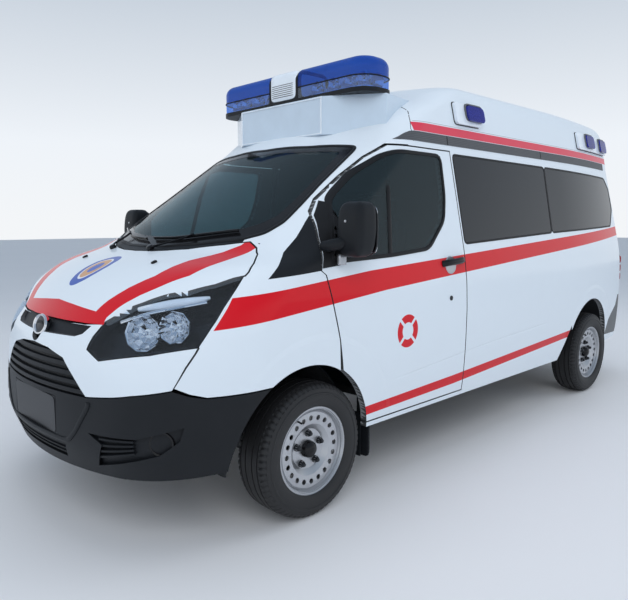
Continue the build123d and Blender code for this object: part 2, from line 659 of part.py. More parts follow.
keep("light_bar_domes", both_sides(dome))

# Chassis, running gear and drive
RAIL_Y = (430.0, 500.0)
RAIL_Z = (400.0, 520.0)
rail = box(-2500, 2350, *RAIL_Y, *RAIL_Z)
chassis = rail + flip(rail)
for x in (-2480, -1950, -1250, -400, 500, 2310):
    chassis = chassis + box(x, x + 40, -RAIL_Y[0], RAIL_Y[0], 430, 500)
LOWER_BALL = (FRONT_AXLE_X, 800.0, 215.0)
STRUT_TOP = (FRONT_AXLE_X, 665.0, 900.0)


def kingpin(z):
    """The point of the left kingpin line at a height."""
    share = (z - LOWER_BALL[2]) / (STRUT_TOP[2] - LOWER_BALL[2])
    return (FRONT_AXLE_X, LOWER_BALL[1] + share * (STRUT_TOP[1] - LOWER_BALL[1]), z)


BALL_R = 10.0
subframe = box(1600, 1760, -500, 500, 240, 300)
arm_lower = box(1650, 1710, 470, 812, 180, 204) + rod_z(1680, kingpin(192)[1], 180, 204, 26)
leg = box(1640, 1720, *RAIL_Y, 290, 410)
ball_bore = rod_between(kingpin(150), kingpin(230), BALL_R + PIN_FIT)
arm_lower = (arm_lower + box(1640, 1720, 470, 500, 180, 245)) - ball_bore
chassis = chassis + subframe + leg + flip(leg) + arm_lower + flip(arm_lower)
keep("chassis", chassis)
SPRING_EYES = (-2200.0, -1040.0)
axle = rod_y(REAR_AXLE_X, -770, 770, HUB_Z, 35)
spring = box(*SPRING_EYES, 440, 500, 286, 304)
spring = spring + box(SPRING_EYES[0], SPRING_EYES[0] + 30, 440, 500, 286, 400)
spring = spring + box(SPRING_EYES[1] - 30, SPRING_EYES[1], 440, 500, 286, 400)
drum = rod_y(REAR_AXLE_X, 760, 790, HUB_Z, 130) + rod_y(REAR_AXLE_X, 780, 884, HUB_Z, 20)
keep("rear_axle", axle + spring + flip(spring) + drum + flip(drum))
engine = box(1760, 2240, -380, 380, 430, 960)
mount = box(1960, 2060, 370, RAIL_Y[0], 440, 500)
keep("engine_block", engine + mount + flip(mount))
keep("fuel_tank", box(-300, 480, 510, 800, 330, 515) + box(-250, 430, RAIL_Y[1], 520, 420, 500))
pipe = rod_x(-1530, 1300, 250, 345, 28) + rod_x(-1000, -300, 250, 345, 70)
for x in (-1230, 520):
    pipe = pipe + box(x, x + 20, 240, 260, 370, 430)
keep("exhaust", pipe)

# Inner front structure
shelf = (box(1640, 2200, 500, FAR, 786, 826) + box(1560, 1640, 500, 780, 786, 826)) & inner_sheet
tower_bore = rod_between(kingpin(700), kingpin(900), 12 + PIN_FIT)
apron = box(1570, 2370, RAIL_Y[1], 530, 520, 826)
post = box(1570, 1622, 700, 785, 735, 1480) & inner_wall
liner_back = rod_y(ARCH_FRONT_X, 530, FAR, HUB_Z, ARCH_FRONT_R + 8)
corner = box(2350, 2700, 480, 540, 605, 780) & inner_plastic
bracket = box(1786, 1814, 716, 726, 1250, 1341) + rod_y(HINGE_BONNET[0], 696, 726, HINGE_BONNET[1], PIN_R)
half = shelf + apron + post + corner + box(2350, 2372, RAIL_Y[0], 560, 400, 840)
front_half = half - liner_back - tower_bore
fire = box(1550, 1570, -785, 785, 560, 1250) - liner_back - flip(liner_back)
beam = box(1560, 1830, -785, 785, 1215, 1250)
structure = front_half + flip(front_half) + fire + beam + bracket + flip(bracket)
for z in DOOR_HINGES:
    x, y = HINGE_DOOR
    low, high = z + LINK_Z[0], z + LINK_Z[1]
    link = box(x - LINK_R, x + LINK_R, 776, y, low, high) + rod_z(x, y, low, high, LINK_R)
    link = link + box(x - LINK_R, 1572, 760, 785, low, high) + rod_z(x, y, z - 18, high, PIN_R)
    structure = structure + link + flip(link)
slam = box(2350, 2372, -530, 530, 780, 880)
keep("front_structure", structure + slam)
liner = rod_y(ARCH_FRONT_X, 530, FAR, HUB_Z, ARCH_FRONT_R + 8) - front_arch
liner = (liner & box(1640, 2300, 530, FAR, 335, 900)) + (liner & box(1290, 1640, 530, 800, 335, 900))
liner = (liner & inner_sheet) - rod_between(kingpin(600), kingpin(900), 80) - bumper
flap = box(1282, 1290, 780, 912, 190, 430)
rear_liner = rod_y(ARCH_REAR_X, 560, FAR, HUB_Z, ARCH_REAR_R + 8) - rear_arch
rear_liner = (rear_liner & box(-2100, -1000, 560, FAR, 380, 900)) & inner_wall
rear_wall = rod_y(ARCH_REAR_X, 552, 560, HUB_Z, ARCH_REAR_R + 8) & box(-2100, -1000, 0, FAR, 380, 900)
rear_flap = box(-2060, -2052, 780, 860, 270, 440)
keep("front_wheel_liners", both_sides(liner + flap))
keep("rear_wheel_liners", both_sides(join(rear_liner + rear_wall + rear_flap)))

# Floor, cab and patient space
floor_in = body_form(WALL)
floor = box(-2540, 1290, -FAR, FAR, FLOOR_Z, FLOOR_Z + FLOOR_T) & floor_in
floor = floor + box(1280, 1560, -528, 528, FLOOR_Z, FLOOR_Z + FLOOR_T)
wheel_space = rod_y(ARCH_REAR_X, 552, FAR, HUB_Z, ARCH_REAR_R + 8)
floor = floor - wheel_space - flip(wheel_space)
sill = box(-1000, 1280, 880, FAR, 370, FLOOR_Z + 5) & floor_in
floor = floor + (sill - box(-FAR, FAR, -FAR, FAR, 0, 369)) + flip(sill)
floor = floor - liner_back - flip(liner_back)
keep("floor", floor)
partition = (box(300, 330, -FAR, FAR, FLOOR_Z + FLOOR_T, BELT_TOP_Z) & floor_in)
partition = partition - box(250, 400, -350, 350, 1200, 1650)
keep("partition", partition)
DASH = [(1549, 1000), (1549, 1215), (1480, 1240), (1330, 1215), (1290, 1120), (1330, 1000)]
dash = side_prism(DASH, -755, 755)
keep("dashboard", fillet(dash.edges().filter_by(Axis.Y), 18))
STEER_Y = 400.0
STEER_TILT = (-0.75, 0, 0.66)
wheel_plane = Plane(origin=(1150, STEER_Y, 1060), z_dir=STEER_TILT)
column = rod_between((1150, STEER_Y, 1060), (1300, STEER_Y, 928), 22)
steer = (wheel_plane * Torus(190, 15)) + (wheel_plane * Box(360, 34, 14))
steer = steer + (wheel_plane * Cylinder(55, 30)) + column
steer = steer + rod_x(1290, 1550, STEER_Y, 928, 20)
keep("steering_wheel", steer)


def seat(y0, y1, x0=560.0):
    """A front seat: base, cushion and back, left at its low y."""
    base = box(x0 + 40, x0 + 440, y0 + 40, y1 - 40, FLOOR_Z + FLOOR_T, 760)
    cushion = fillet(box(x0, x0 + 500, y0, y1, 760, 880).edges(), 30)
    back = side_prism([(x0 + 20, 850), (x0 + 150, 850), (x0 + 30, 1460), (x0 - 70, 1460)], y0 + 10, y1 - 10)
    head_rest = box(x0 - 60, x0 + 30, (y0 + y1) / 2 - 120, (y0 + y1) / 2 + 120, 1450, 1600)
    return base + cushion + fillet(back.edges(), 20) + head_rest


keep("front_seats", join(seat(150, 650), seat(-650, -150)))
BED_Z = 820.0
bed = box(-2250, -350, -420, 130, BED_Z, BED_Z + 90)
bed = fillet(bed.edges().filter_by(Axis.Z), 60)
legs = None
for x in (-2100, -550):
    for y in (-380, 60):
        leg_piece = box(x, x + 40, y, y + 40, FLOOR_Z + FLOOR_T, BED_Z)
        legs = leg_piece if legs is None else legs + leg_piece
keep("stretcher", bed + legs + box(-2100, -510, -380, 100, BED_Z - 40, BED_Z))


# Wheels, each ring as (offset outward, radius) around the hub line
RIM_SECTION = [
    (87, 219), (80, 219), (80, 204), (55, 204), (42, 188), (-20, 188), (-50, 204), (-80, 204), (-80, 219),
    (-87, 219), (-87, 197), (-56, 197), (-26, 181), (46, 181), (60, 197), (87, 210),
]
DISC_SECTION = [
    (58, 196), (70, 188), (72, 165), (67, 128), (46, 100), (44, 36), (60, 34), (62, 0), (20, 0), (20, 20.4),
    (-30, 20.4), (-30, 45), (38, 45), (38, 103), (60, 132), (65, 165), (63, 182), (56, 190),
]
TYRE_SECTION = [
    (80, 204), (80, 219), (92, 225), (107, 262), (104, 300), (92, 323), (72, 333), (-72, 333), (-92, 323),
    (-104, 300), (-107, 262), (-92, 225), (-80, 219), (-80, 204), (-62, 204), (-90, 250), (-84, 308), (84, 308),
    (90, 250), (62, 204),
]


def turned(section):
    """A ring turned about the Y axis from points (offset, radius)."""
    points = [(radius, -across) for across, radius in section]
    plane = Plane(origin=(0, 0, 0), x_dir=(0, 0, 1), z_dir=(1, 0, 0))
    face = plane * make_face(Polyline(*points, close=True))
    return revolve(face, Axis.Y, 360)


TREAD = [(72, 333), (0, TYRE_R), (-72, 333)]
tyre_points = TYRE_SECTION[:6] + TREAD + TYRE_SECTION[8:]
rim_ring = turned(RIM_SECTION) + turned(DISC_SECTION)
VENTS = 20
VENT_R = 160.0
for i in range(VENTS):
    angle = 2 * math.pi * i / VENTS
    rim_ring = rim_ring - rod_y(VENT_R * math.cos(angle), 40, 80, VENT_R * math.sin(angle), 13)
LUGS = 5
LUG_CIRCLE_R = 80.0
for i in range(LUGS):
    angle = math.pi / 2 + 2 * math.pi * i / LUGS
    rim_ring = rim_ring + rod_y(LUG_CIRCLE_R * math.cos(angle), 40, 62, LUG_CIRCLE_R * math.sin(angle), 11)
tyre_ring = turned(tyre_points)
WHEELS = [("fl", FRONT_AXLE_X, 1), ("fr", FRONT_AXLE_X, -1), ("rl", REAR_AXLE_X, 1), ("rr", REAR_AXLE_X, -1)]
for tag, x, hand in WHEELS:
    for name, ring in (("rim", rim_ring), ("tyre", tyre_ring)):
        placed = Pos(x, WHEEL_Y, HUB_Z) * ring
        keep(f"{name}_{tag}", placed if hand > 0 else flip(placed))

# Steering knuckles with their struts
upright = rod_between(kingpin(232), kingpin(420), 24) + rod_between(kingpin(400), kingpin(690), 20)
upright = upright + rod_between(kingpin(690), kingpin(772), 48) + rod_between(kingpin(770), kingpin(800), 12)
upright = upright + rod_between(kingpin(185), kingpin(240), BALL_R)
upright = upright + rod_y(FRONT_AXLE_X, 770, 800, HUB_Z, 46) + rod_y(FRONT_AXLE_X, 790, 884, HUB_Z, 20)
keep_pair("knuckle_SIDE", upright)

whole = Compound(children=list(NODES.values())).bounding_box()
print("box", [round(v, 2) for v in (*whole.min, *whole.max)])
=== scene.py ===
"""Looks of a high-roof ambulance van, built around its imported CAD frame. Metres, +X forward, +Y left, +Z up."""

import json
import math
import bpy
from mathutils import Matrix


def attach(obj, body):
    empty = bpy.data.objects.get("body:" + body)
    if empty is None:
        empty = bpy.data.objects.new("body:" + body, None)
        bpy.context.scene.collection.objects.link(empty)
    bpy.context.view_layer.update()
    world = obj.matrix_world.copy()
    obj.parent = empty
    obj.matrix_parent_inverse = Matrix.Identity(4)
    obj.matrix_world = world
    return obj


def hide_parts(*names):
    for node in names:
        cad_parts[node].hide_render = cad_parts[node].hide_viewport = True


bl_info = {
    "name": "Ambulance van look",
    "version": (1, 0, 0),
    "blender": (4, 5, 0),
    "location": "View3D > Sidebar > Ambulance",
    "description": "Adds paint, glass, lamps, wheels and cab pieces to the ambulance frame",
    "category": "Object",
}

import bmesh
import bpy
import numpy as np
from bpy.props import FloatProperty
from mathutils import Euler, Matrix, Vector

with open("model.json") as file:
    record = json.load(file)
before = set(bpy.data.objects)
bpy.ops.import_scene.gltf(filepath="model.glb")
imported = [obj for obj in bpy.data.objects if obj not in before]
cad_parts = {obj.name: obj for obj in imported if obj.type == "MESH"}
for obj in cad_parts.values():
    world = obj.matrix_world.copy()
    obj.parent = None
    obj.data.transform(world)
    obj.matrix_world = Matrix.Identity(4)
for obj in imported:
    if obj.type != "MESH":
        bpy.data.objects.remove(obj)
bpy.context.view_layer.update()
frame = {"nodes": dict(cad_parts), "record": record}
BODY_OF = {n: b for b, nodes in frame["record"]["behaviour"]["bodies"].items() for n in nodes}

# Level sections: height, nose x, drop to the side, corner radius, half width, rear corner x
BODY_LEVELS = [
    (0.310, 2.595, 0.620, 0.560, 0.955, -2.410),
    (0.500, 2.650, 0.620, 0.560, 0.978, -2.430),
    (0.720, 2.645, 0.640, 0.570, 0.990, -2.420),
    (0.900, 2.615, 0.650, 0.580, 0.993, -2.410),
    (1.000, 2.540, 0.600, 0.530, 0.990, -2.410),
    (1.080, 2.485, 0.600, 0.530, 0.986, -2.410),
    (1.150, 2.410, 0.600, 0.530, 0.978, -2.405),
    (1.200, 2.330, 0.590, 0.520, 0.972, -2.400),
    (1.240, 2.245, 0.580, 0.500, 0.966, -2.395),
    (1.270, 2.150, 0.560, 0.460, 0.961, -2.390),
    (1.300, 2.050, 0.520, 0.400, 0.955, -2.385),
    (1.450, 1.818, 0.487, 0.344, 0.925, -2.370),
    (1.905, 1.130, 0.400, 0.277, 0.833, -2.330),
]
ROOF_LEVELS = [
    (1.905, 1.130, 0.400, 0.277, 0.833, -2.330),
    (2.090, 0.873, 0.368, 0.252, 0.800, -2.325),
    (2.200, 0.640, 0.350, 0.240, 0.772, -2.325),
    (2.280, 0.460, 0.330, 0.220, 0.725, -2.325),
    (2.320, 0.330, 0.310, 0.205, 0.660, -2.310),
    (2.338, 0.200, 0.300, 0.200, 0.580, -2.270),
]
FRONT_AXLE = 1.680
REAR_AXLE = -1.620
AXLE_Z = 0.335
WHEEL_Y = 0.868
SIDE_STRAIGHT_X = -1.1
SIDE_REAR_R = 8.5
TAIL_CORNER_R = 0.2
TAIL_ARC = math.radians(6)


class Skin:
    """The outer surface, smooth between its level sections."""

    def __init__(self, levels):
        table = np.array(levels)
        self.z = table[:, 0]
        self.cols = table[:, 1:]
        h = np.diff(self.z)[:, None]
        d = np.diff(self.cols, axis=0) / h
        slope = np.zeros_like(self.cols)
        slope[0], slope[-1] = d[0], d[-1]
        w1 = 2 * h[1:] + h[:-1]
        w2 = h[1:] + 2 * h[:-1]
        same = d[1:] * d[:-1] > 0
        safe_a = np.where(same, d[:-1], 1.0)
        safe_b = np.where(same, d[1:], 1.0)
        slope[1:-1] = np.where(same, (w1 + w2) / (w1 / safe_a + w2 / safe_b), 0.0)
        self.slope = slope

    def rows(self, z):
        """Table columns at each height."""
        z = np.clip(z, self.z[0], self.z[-1])
        i = np.clip(np.searchsorted(self.z, z, side="right") - 1, 0, len(self.z) - 2)
        h = self.z[i + 1] - self.z[i]
        t = ((z - self.z[i]) / h)[:, None]
        h = h[:, None]
        a, b = self.cols[i], self.cols[i + 1]
        ma, mb = self.slope[i] * h, self.slope[i + 1] * h
        out = a * (1 + 2 * t) * (1 - t) ** 2 + ma * t * (1 - t) ** 2 + b * t * t * (3 - 2 * t) + mb * t * t * (t - 1)
        return out.T

    def field(self, x, y, z):
        """Distance outside the section at each point, and the outward plan direction. All for the left half."""
        x, y, z = np.atleast_1d(x).astype(float), np.atleast_1d(y).astype(float), np.atleast_1d(z).astype(float)
        nose, drop, corner, half, rear = self.rows(z)
        turn = 2 * np.arctan2(drop - corner, half - corner)
        nose_r = (half - corner) / np.sin(turn) + corner
        bend = np.arcsin((SIDE_STRAIGHT_X - rear) / SIDE_REAR_R)
        side_y = half - SIDE_REAR_R
        end_y = side_y + SIDE_REAR_R * np.cos(bend)
        tx = rear + TAIL_CORNER_R * np.sin(bend)
        ty = end_y - TAIL_CORNER_R * np.cos(bend)
        far_x = tx - TAIL_CORNER_R * math.cos(TAIL_ARC)
        far_y = ty + TAIL_CORNER_R * math.sin(TAIL_ARC)
        back_r = far_y / math.sin(TAIL_ARC)
        back_x = far_x + back_r * math.cos(TAIL_ARC)
        zero = np.zeros_like(x)
        full = np.full_like(x, math.pi / 2)
        arcs = [
            (nose - drop, half - corner, corner, turn, full),
            (nose - nose_r, zero, nose_r, zero - 1e-9, turn),
            (zero + SIDE_STRAIGHT_X, side_y, zero + SIDE_REAR_R, full, full + bend),
            (tx, ty, zero + TAIL_CORNER_R, full + bend, zero + math.pi - TAIL_ARC),
            (back_x, zero, back_r, zero + math.pi - TAIL_ARC, zero + math.pi + 1e-9),
        ]
        dist, nx, ny = y - half, zero.copy(), zero + 1.0
        straight = (x >= SIDE_STRAIGHT_X) & (x <= nose - drop)
        done = straight.copy()
        for cx, cy, r, a0, a1 in arcs:
            ang = np.arctan2(y - cy, x - cx)
            hit = (~done) & (ang >= a0) & (ang <= a1)
            length = np.hypot(x - cx, y - cy)
            dist = np.where(hit, length - r, dist)
            nx = np.where(hit, np.cos(ang), nx)
            ny = np.where(hit, np.sin(ang), ny)
            done |= hit
        return dist, nx, ny

    def normal(self, x, y, z):
        """Outward surface direction at each point of the left half."""
        _, nx, ny = self.field(x, y, z)
        step = 0.004
        up, _, _ = self.field(x, y, z + step)
        low, _, _ = self.field(x, y, z - step)
        span = np.clip(z + step, self.z[0], self.z[-1]) - np.clip(z - step, self.z[0], self.z[-1])
        nz = (up - low) / np.maximum(span, 1e-6)
        n = np.stack([nx, ny, nz], 1)
        return n / np.linalg.norm(n, axis=1)[:, None]

    def on_side(self, x, z, lift=0.0):
        """Points of the left side at (x, z), raised by a lift, and their outward directions."""
        x, z, lift = (np.array(v, float) for v in np.broadcast_arrays(np.atleast_1d(x), z, lift))
        y = np.full(x.shape, 0.9)
        for _ in range(16):
            d, _, ny = self.field(x, y, z)
            y = y - d / np.maximum(ny, 0.3)
        n = self.normal(x, y, z)
        return np.stack([x, y, z], 1) + n * lift[:, None], n

    def on_front(self, y, z, lift=0.0):
        """Points of the front at (y, z), raised by a lift, and their outward directions."""
        y, z, lift = (np.array(v, float) for v in np.broadcast_arrays(np.atleast_1d(y), z, lift))
        x = np.full(y.shape, 2.3)
        for _ in range(20):
            d, nx, _ = self.field(x, np.abs(y), z)
            x = x - d / np.maximum(nx, 0.3)
        n = self.normal(x, np.abs(y), z)
        n[:, 1] *= np.where(y >= 0, 1.0, -1.0)
        return np.stack([x, y, z], 1) + n * lift[:, None], n

    def on_back(self, y, z, lift=0.0):
        """Points of the tail at (y, z), raised by a lift, and their outward directions."""
        y, z, lift = (np.array(v, float) for v in np.broadcast_arrays(np.atleast_1d(y), z, lift))
        x = np.full(y.shape, -2.58)
        for _ in range(20):
            d, nx, _ = self.field(x, np.abs(y), z)
            x = x - d / np.minimum(nx, -0.3)
        n = self.normal(x, np.abs(y), z)
        n[:, 1] *= np.where(y >= 0, 1.0, -1.0)
        return np.stack([x, y, z], 1) + n * lift[:, None], n

    def on_top(self, x, y, lift=0.0):
        """Points of the bonnet or screen above (x, y), raised by a lift, and their outward directions."""
        x, y, lift = (np.array(v, float) for v in np.broadcast_arrays(np.atleast_1d(x), y, lift))
        low, high = np.full(x.shape, self.z[0] + 0.5), np.full(x.shape, self.z[-1])
        for _ in range(24):
            mid = (low + high) / 2
            out = self.field(x, np.abs(y), mid)[0] > 0
            high, low = np.where(out, mid, high), np.where(out, low, mid)
        n = self.normal(x, np.abs(y), low)
        n[:, 1] *= np.where(y >= 0, 1.0, -1.0)
        return np.stack([x, y, low], 1) + n * lift[:, None], n


BODY_SKIN = Skin(BODY_LEVELS)
ROOF_SKIN = Skin(ROOF_LEVELS)


class Val:
    """A shader value that takes Python's operators, each adding one maths node."""

    def __init__(self, shade, socket):
        self.shade = shade
        self.socket = socket

    def _do(self, operation, *others):
        return self.shade.maths(operation, self, *others)

    def __add__(self, other):
        return self._do("ADD", other)

    def __radd__(self, other):
        return self._do("ADD", other)

    def __sub__(self, other):
        return self._do("SUBTRACT", other)

    def __rsub__(self, other):
        return self.shade.maths("SUBTRACT", other, self)

    def __mul__(self, other):
        return self._do("MULTIPLY", other)

    def __rmul__(self, other):
        return self._do("MULTIPLY", other)

    def __truediv__(self, other):
        return self._do("DIVIDE", other)

    def __rtruediv__(self, other):
        return self.shade.maths("DIVIDE", other, self)

    def __pow__(self, other):
        return self._do("POWER", other)

    def __neg__(self):
        return self._do("MULTIPLY", -1.0)

    def __abs__(self):
        return self._do("ABSOLUTE")

    def low(self, other):
        return self._do("MINIMUM", other)

    def high(self, other):
        return self._do("MAXIMUM", other)

    def clamp(self):
        return self.low(1.0).high(0.0)

    def over(self, edge=0.0, soft=0.0015):
        """One where the value passes the edge, with a narrow ramp."""
        return ((self - edge) / soft + 0.5).clamp()


class Shade:
    """One material's node tree."""

    def __init__(self, name):
        self.material = bpy.data.materials.new(name)
        self.material.use_nodes = True
        self.tree = self.material.node_tree
        self.tree.nodes.clear()
        self.out = self.tree.nodes.new("ShaderNodeOutputMaterial")

    def node(self, kind, settings=None, **inputs):
        """Adds a node: its settings first, then its socket values or links."""
        made = self.tree.nodes.new(kind)
        for key, value in (settings or {}).items():
            setattr(made, key, value)
        for key, value in inputs.items():
            self.put(made.inputs[key.replace("_", " ")], value)
        return made

    def put(self, socket, value):
        """Sets a socket's value, or links to it."""
        if isinstance(value, Val):
            self.tree.links.new(value.socket, socket)
        elif isinstance(value, bpy.types.NodeSocket):
            self.tree.links.new(value, socket)
        elif isinstance(value, (tuple, list)) and len(value) == 3 and len(socket.default_value) == 4:
            socket.default_value = (*value, 1.0)
        else:
            socket.default_value = value

    def maths(self, operation, *values):
        made = self.node("ShaderNodeMath", {"operation": operation})
        for socket, value in zip(made.inputs, values):
            self.put(socket, value)
        return Val(self, made.outputs[0])

    def place(self):
        """The point's own coordinates in the row frame at rest."""
        coords = self.node("ShaderNodeTexCoord")
        split = self.node("ShaderNodeSeparateXYZ")
        self.put(split.inputs[0], coords.outputs["Object"])
        return coords.outputs["Object"], *(Val(self, split.outputs[i]) for i in range(3))

    def noise(self, where, scale, detail=3.0, rough=0.55):
        made = self.node("ShaderNodeTexNoise", None, Scale=scale, Detail=detail, Roughness=rough)
        self.put(made.inputs["Vector"], where)
        return Val(self, made.outputs["Fac"])

    def mix(self, factor, a, b):
        """One colour over another by a factor."""
        made = self.node("ShaderNodeMix", {"data_type": "RGBA"})
        self.put(made.inputs[0], factor)
        self.put(made.inputs[6], a)
        self.put(made.inputs[7], b)
        return made.outputs[2]

    def bump(self, height, strength=0.3, distance=0.001):
        made = self.node("ShaderNodeBump", None, Strength=strength, Distance=distance)
        self.put(made.inputs["Height"], height)
        return made.outputs[0]

    def surface(self, **inputs):
        """The main shader, linked to the output."""
        main = self.node("ShaderNodeBsdfPrincipled")
        for key, value in inputs.items():
            self.put(main.inputs[key.replace("_", " ")], value)
        self.tree.links.new(main.outputs[0], self.out.inputs[0])
        return self.material

    def path(self, x, points):
        """A straight-line function through points, of a value."""
        total = points[0][1]
        before = 0.0
        value = x * 0.0 + total
        for (x0, y0), (x1, y1) in zip(points, points[1:]):
            slope = (y1 - y0) / (x1 - x0)
            value = value + (x - x0).high(0.0) * (slope - before)
            before = slope
        return value


RED = (0.64, 0.0015, 0.010)
WHITE = (0.74, 0.81, 0.87)


def make_paint(bonnet=False):
    """White paint with the red stripes, each placed by height and length."""
    s = Shade("bonnet_paint" if bonnet else "body_paint")
    where, x, y, z = s.place()
    side = abs(y)
    fleck = s.noise(where, 9.0, 2.0)
    base = s.mix(fleck * 0.5, WHITE, (0.72, 0.78, 0.84))
    if bonnet:
        inner = s.path(x, [(1.860, 0.644), (2.087, 0.540), (2.261, 0.522), (2.389, 0.437), (2.476, 0.371)])
        outer = s.path(x, [(1.870, 0.735), (2.018, 0.717), (2.189, 0.693), (2.314, 0.609), (2.404, 0.526),
                           (2.480, 0.452)])
        bands = (side - inner).over() * (outer - side).over()
        front = (s.path(side, [(0.0, 1.072), (0.154, 1.062), (0.371, 1.044), (0.45, 1.03)]) - z).over()
        stripe = bands.high(front * (0.46 - side).over())
        colour = s.mix(stripe, base, RED)
        across = y / 0.098
        along = (x - 2.295) / 0.135
        radius = (across * across + along * along) ** 0.5
        blue = (1.0 - radius).over(0.0, 0.02)
        pale = (0.70 - radius).over(0.0, 0.02)
        tan = (0.62 - radius).over(0.0, 0.02)
        centre = (0.34 - radius).over(0.0, 0.02)
        colour = s.mix(blue, colour, (0.03, 0.09, 0.42))
        colour = s.mix(pale, colour, (0.80, 0.82, 0.85))
        colour = s.mix(tan, colour, (0.62, 0.33, 0.16))
        colour = s.mix(centre, colour, (0.05, 0.12, 0.48))
    else:
        top = (1.2655 - x * 0.056).low(1.311 - x * 0.0914)
        bottom = (1.1623 - x * 0.0655).low(1.194 - x * 0.0927)
        cut = 2.117 + (1.118 - z) * 0.815
        upper = (top - z).over() * (z - bottom).over() * (cut - x).over()
        low_top = (0.52625 - x * 0.0325).high(0.5329 - x * 0.0458)
        low_bottom = (0.4675 - x * 0.025).high(0.4794 - x * 0.0488)
        lower = (low_top - z).over() * (z - low_bottom).over() * (x + 1.16).over() * (1.32 - x).over()
        stripe = upper.high(lower)
        roof = (z - 1.970).over() * (2.022 - z).over() * (0.72 - x).over() * (side - 0.5).over()
        line = (z - 2.028).over() * (2.031 - z).over() * (0.70 - x).over() * (side - 0.5).over()
        colour = s.mix(stripe, base, RED)
        colour = s.mix(roof, colour, (0.72, 0.05, 0.09))
        colour = s.mix(line, colour, (0.35, 0.36, 0.38))
        # a plain ring in four pieces on each front door
        rx = x - 0.984
        rz = z - 0.845
        radius = (rx * rx + rz * rz) ** 0.5
        ring = (radius - 0.048).over() * (0.092 - radius).over()
        arms = (abs(abs(rx) - abs(rz)) - 0.012).over(0.0, 0.002)
        colour = s.mix(ring * arms * (side - 0.6).over(), colour, RED)
    height = s.noise(where, 900.0, 1.0) * 0.000006
    if not bonnet:
        low = s.path(x, [(-0.680, 0.691), (0.211, 0.651), (1.038, 0.593)])
        fold = (1.0 - abs(z - low) / 0.008).clamp() * (x + 0.68).over(0.0, 0.2) * (1.04 - x).over(0.0, 0.2)
        height = height - fold * (side - 0.8).over() * 0.0016
        for wheel in (FRONT_AXLE, REAR_AXLE):
            reach = ((x - wheel) ** 2.0 + (z - AXLE_Z) ** 2.0) ** 0.5
            bulge = (0.565 - reach).over(0.0, 0.030) * (side - 0.8).over() * (1.15 - z).over(0.0, 0.2)
            height = height + bulge * 0.004
    normal = s.bump(height, 1.0, 1.0)
    return s.surface(
        Base_Color=colour, Roughness=0.30, Normal=normal, Coat_Weight=0.25, Coat_Roughness=0.05,
        Specular_IOR_Level=0.2)


def make_plain(name, colour, rough, metal=0.0, grain=0.0, scale=400.0, coat=0.0, spread=8.0, shine=0.5):
    """A solid material with a slight drift in colour and a fine grain."""
    s = Shade(name)
    where, _, _, _ = s.place()
    drift = s.noise(where, spread, 3.0)
    other = tuple(min(1.0, c * 1.18 + 0.002) for c in colour)
    base = s.mix(drift, colour, other)
    inputs = {"Base_Color": base, "Roughness": rough, "Metallic": metal, "Coat_Weight": coat}
    inputs["Specular_IOR_Level"] = shine
    if grain:
        inputs["Normal"] = s.bump(s.noise(where, scale, 2.0), grain, 0.0006)
    return s.surface(**inputs)


def make_ribbed(name, colour, pitch):
    """Grey trim with fine ribs along its length, each crest painted lighter as a highlight."""
    s = Shade(name)
    where, _, _, z = s.place()
    wave = s.maths("SINE", z * (math.tau / pitch)) * 0.5 + 0.5
    drift = s.noise(where, 12.0)
    # colour lighter on each rib's crest, in step with the bump: painted highlight on the crests, painted shade in the
    # grooves, with a random drift in tone
    base = s.mix(wave * 0.5 + drift * 0.2, colour, tuple(c * 1.9 for c in colour))
    return s.surface(Base_Color=base, Roughness=0.5, Normal=s.bump(wave, 0.6, 0.0012))


def make_glass(name, tint, clear, rough=0.02):
    """Tinted glass: part see-through, part dark, with a sharp gloss."""
    s = Shade(name)
    where, _, _, _ = s.place()
    drift = s.noise(where, 3.0, 2.0)
    base = s.mix(drift * 0.4, tint, tuple(c * 0.8 for c in tint))
    main = s.node("ShaderNodeBsdfPrincipled", None, Roughness=rough, IOR=1.5)
    s.put(main.inputs["Base Color"], base)
    through = s.node("ShaderNodeBsdfTransparent", None, Color=(*tint_light(tint), 1.0))
    blend = s.node("ShaderNodeMixShader")
    s.put(blend.inputs[0], clear)
    s.put(blend.inputs[1], main.outputs[0])
    s.put(blend.inputs[2], through.outputs[0])
    s.tree.links.new(blend.outputs[0], s.out.inputs[0])
    return s.material


def make_bar_lens():
    """The light bar's lens: blue above its joint and clear below."""
    s = Shade("bar_lens")
    where, _, _, z = s.place()
    upper = (z - 2.268).over(0.0, 0.003)
    drift = s.noise(where, 6.0, 2.0)
    tone = s.mix(drift * 0.5, (0.003, 0.035, 0.30), (0.006, 0.070, 0.42))
    base = s.mix(upper, (0.55, 0.62, 0.68), tone)
    flutes = s.maths("SINE", z * (math.tau / 0.012)) * 0.5
    normal = s.bump(flutes, 0.35, 0.001)
    main = s.node("ShaderNodeBsdfPrincipled", None, Roughness=0.06, IOR=1.5)
    s.put(main.inputs["Base Color"], base)
    s.put(main.inputs["Normal"], normal)
    through = s.node("ShaderNodeBsdfTransparent", None, Color=(0.25, 0.48, 0.92, 1.0))
    blend = s.node("ShaderNodeMixShader")
    s.put(blend.inputs[0], 0.82 - upper * 0.40)
    s.put(blend.inputs[1], main.outputs[0])
    s.put(blend.inputs[2], through.outputs[0])
    s.tree.links.new(blend.outputs[0], s.out.inputs[0])
    return s.material


def tint_light(tint):
    top = max(tint)
    return tuple(0.35 + 0.65 * c / max(top, 1e-6) for c in tint)


MATERIALS = {}


def material(name):
    """A named material, made once."""
    if name not in MATERIALS:
        MATERIALS[name] = RECIPES[name]()
    return MATERIALS[name]


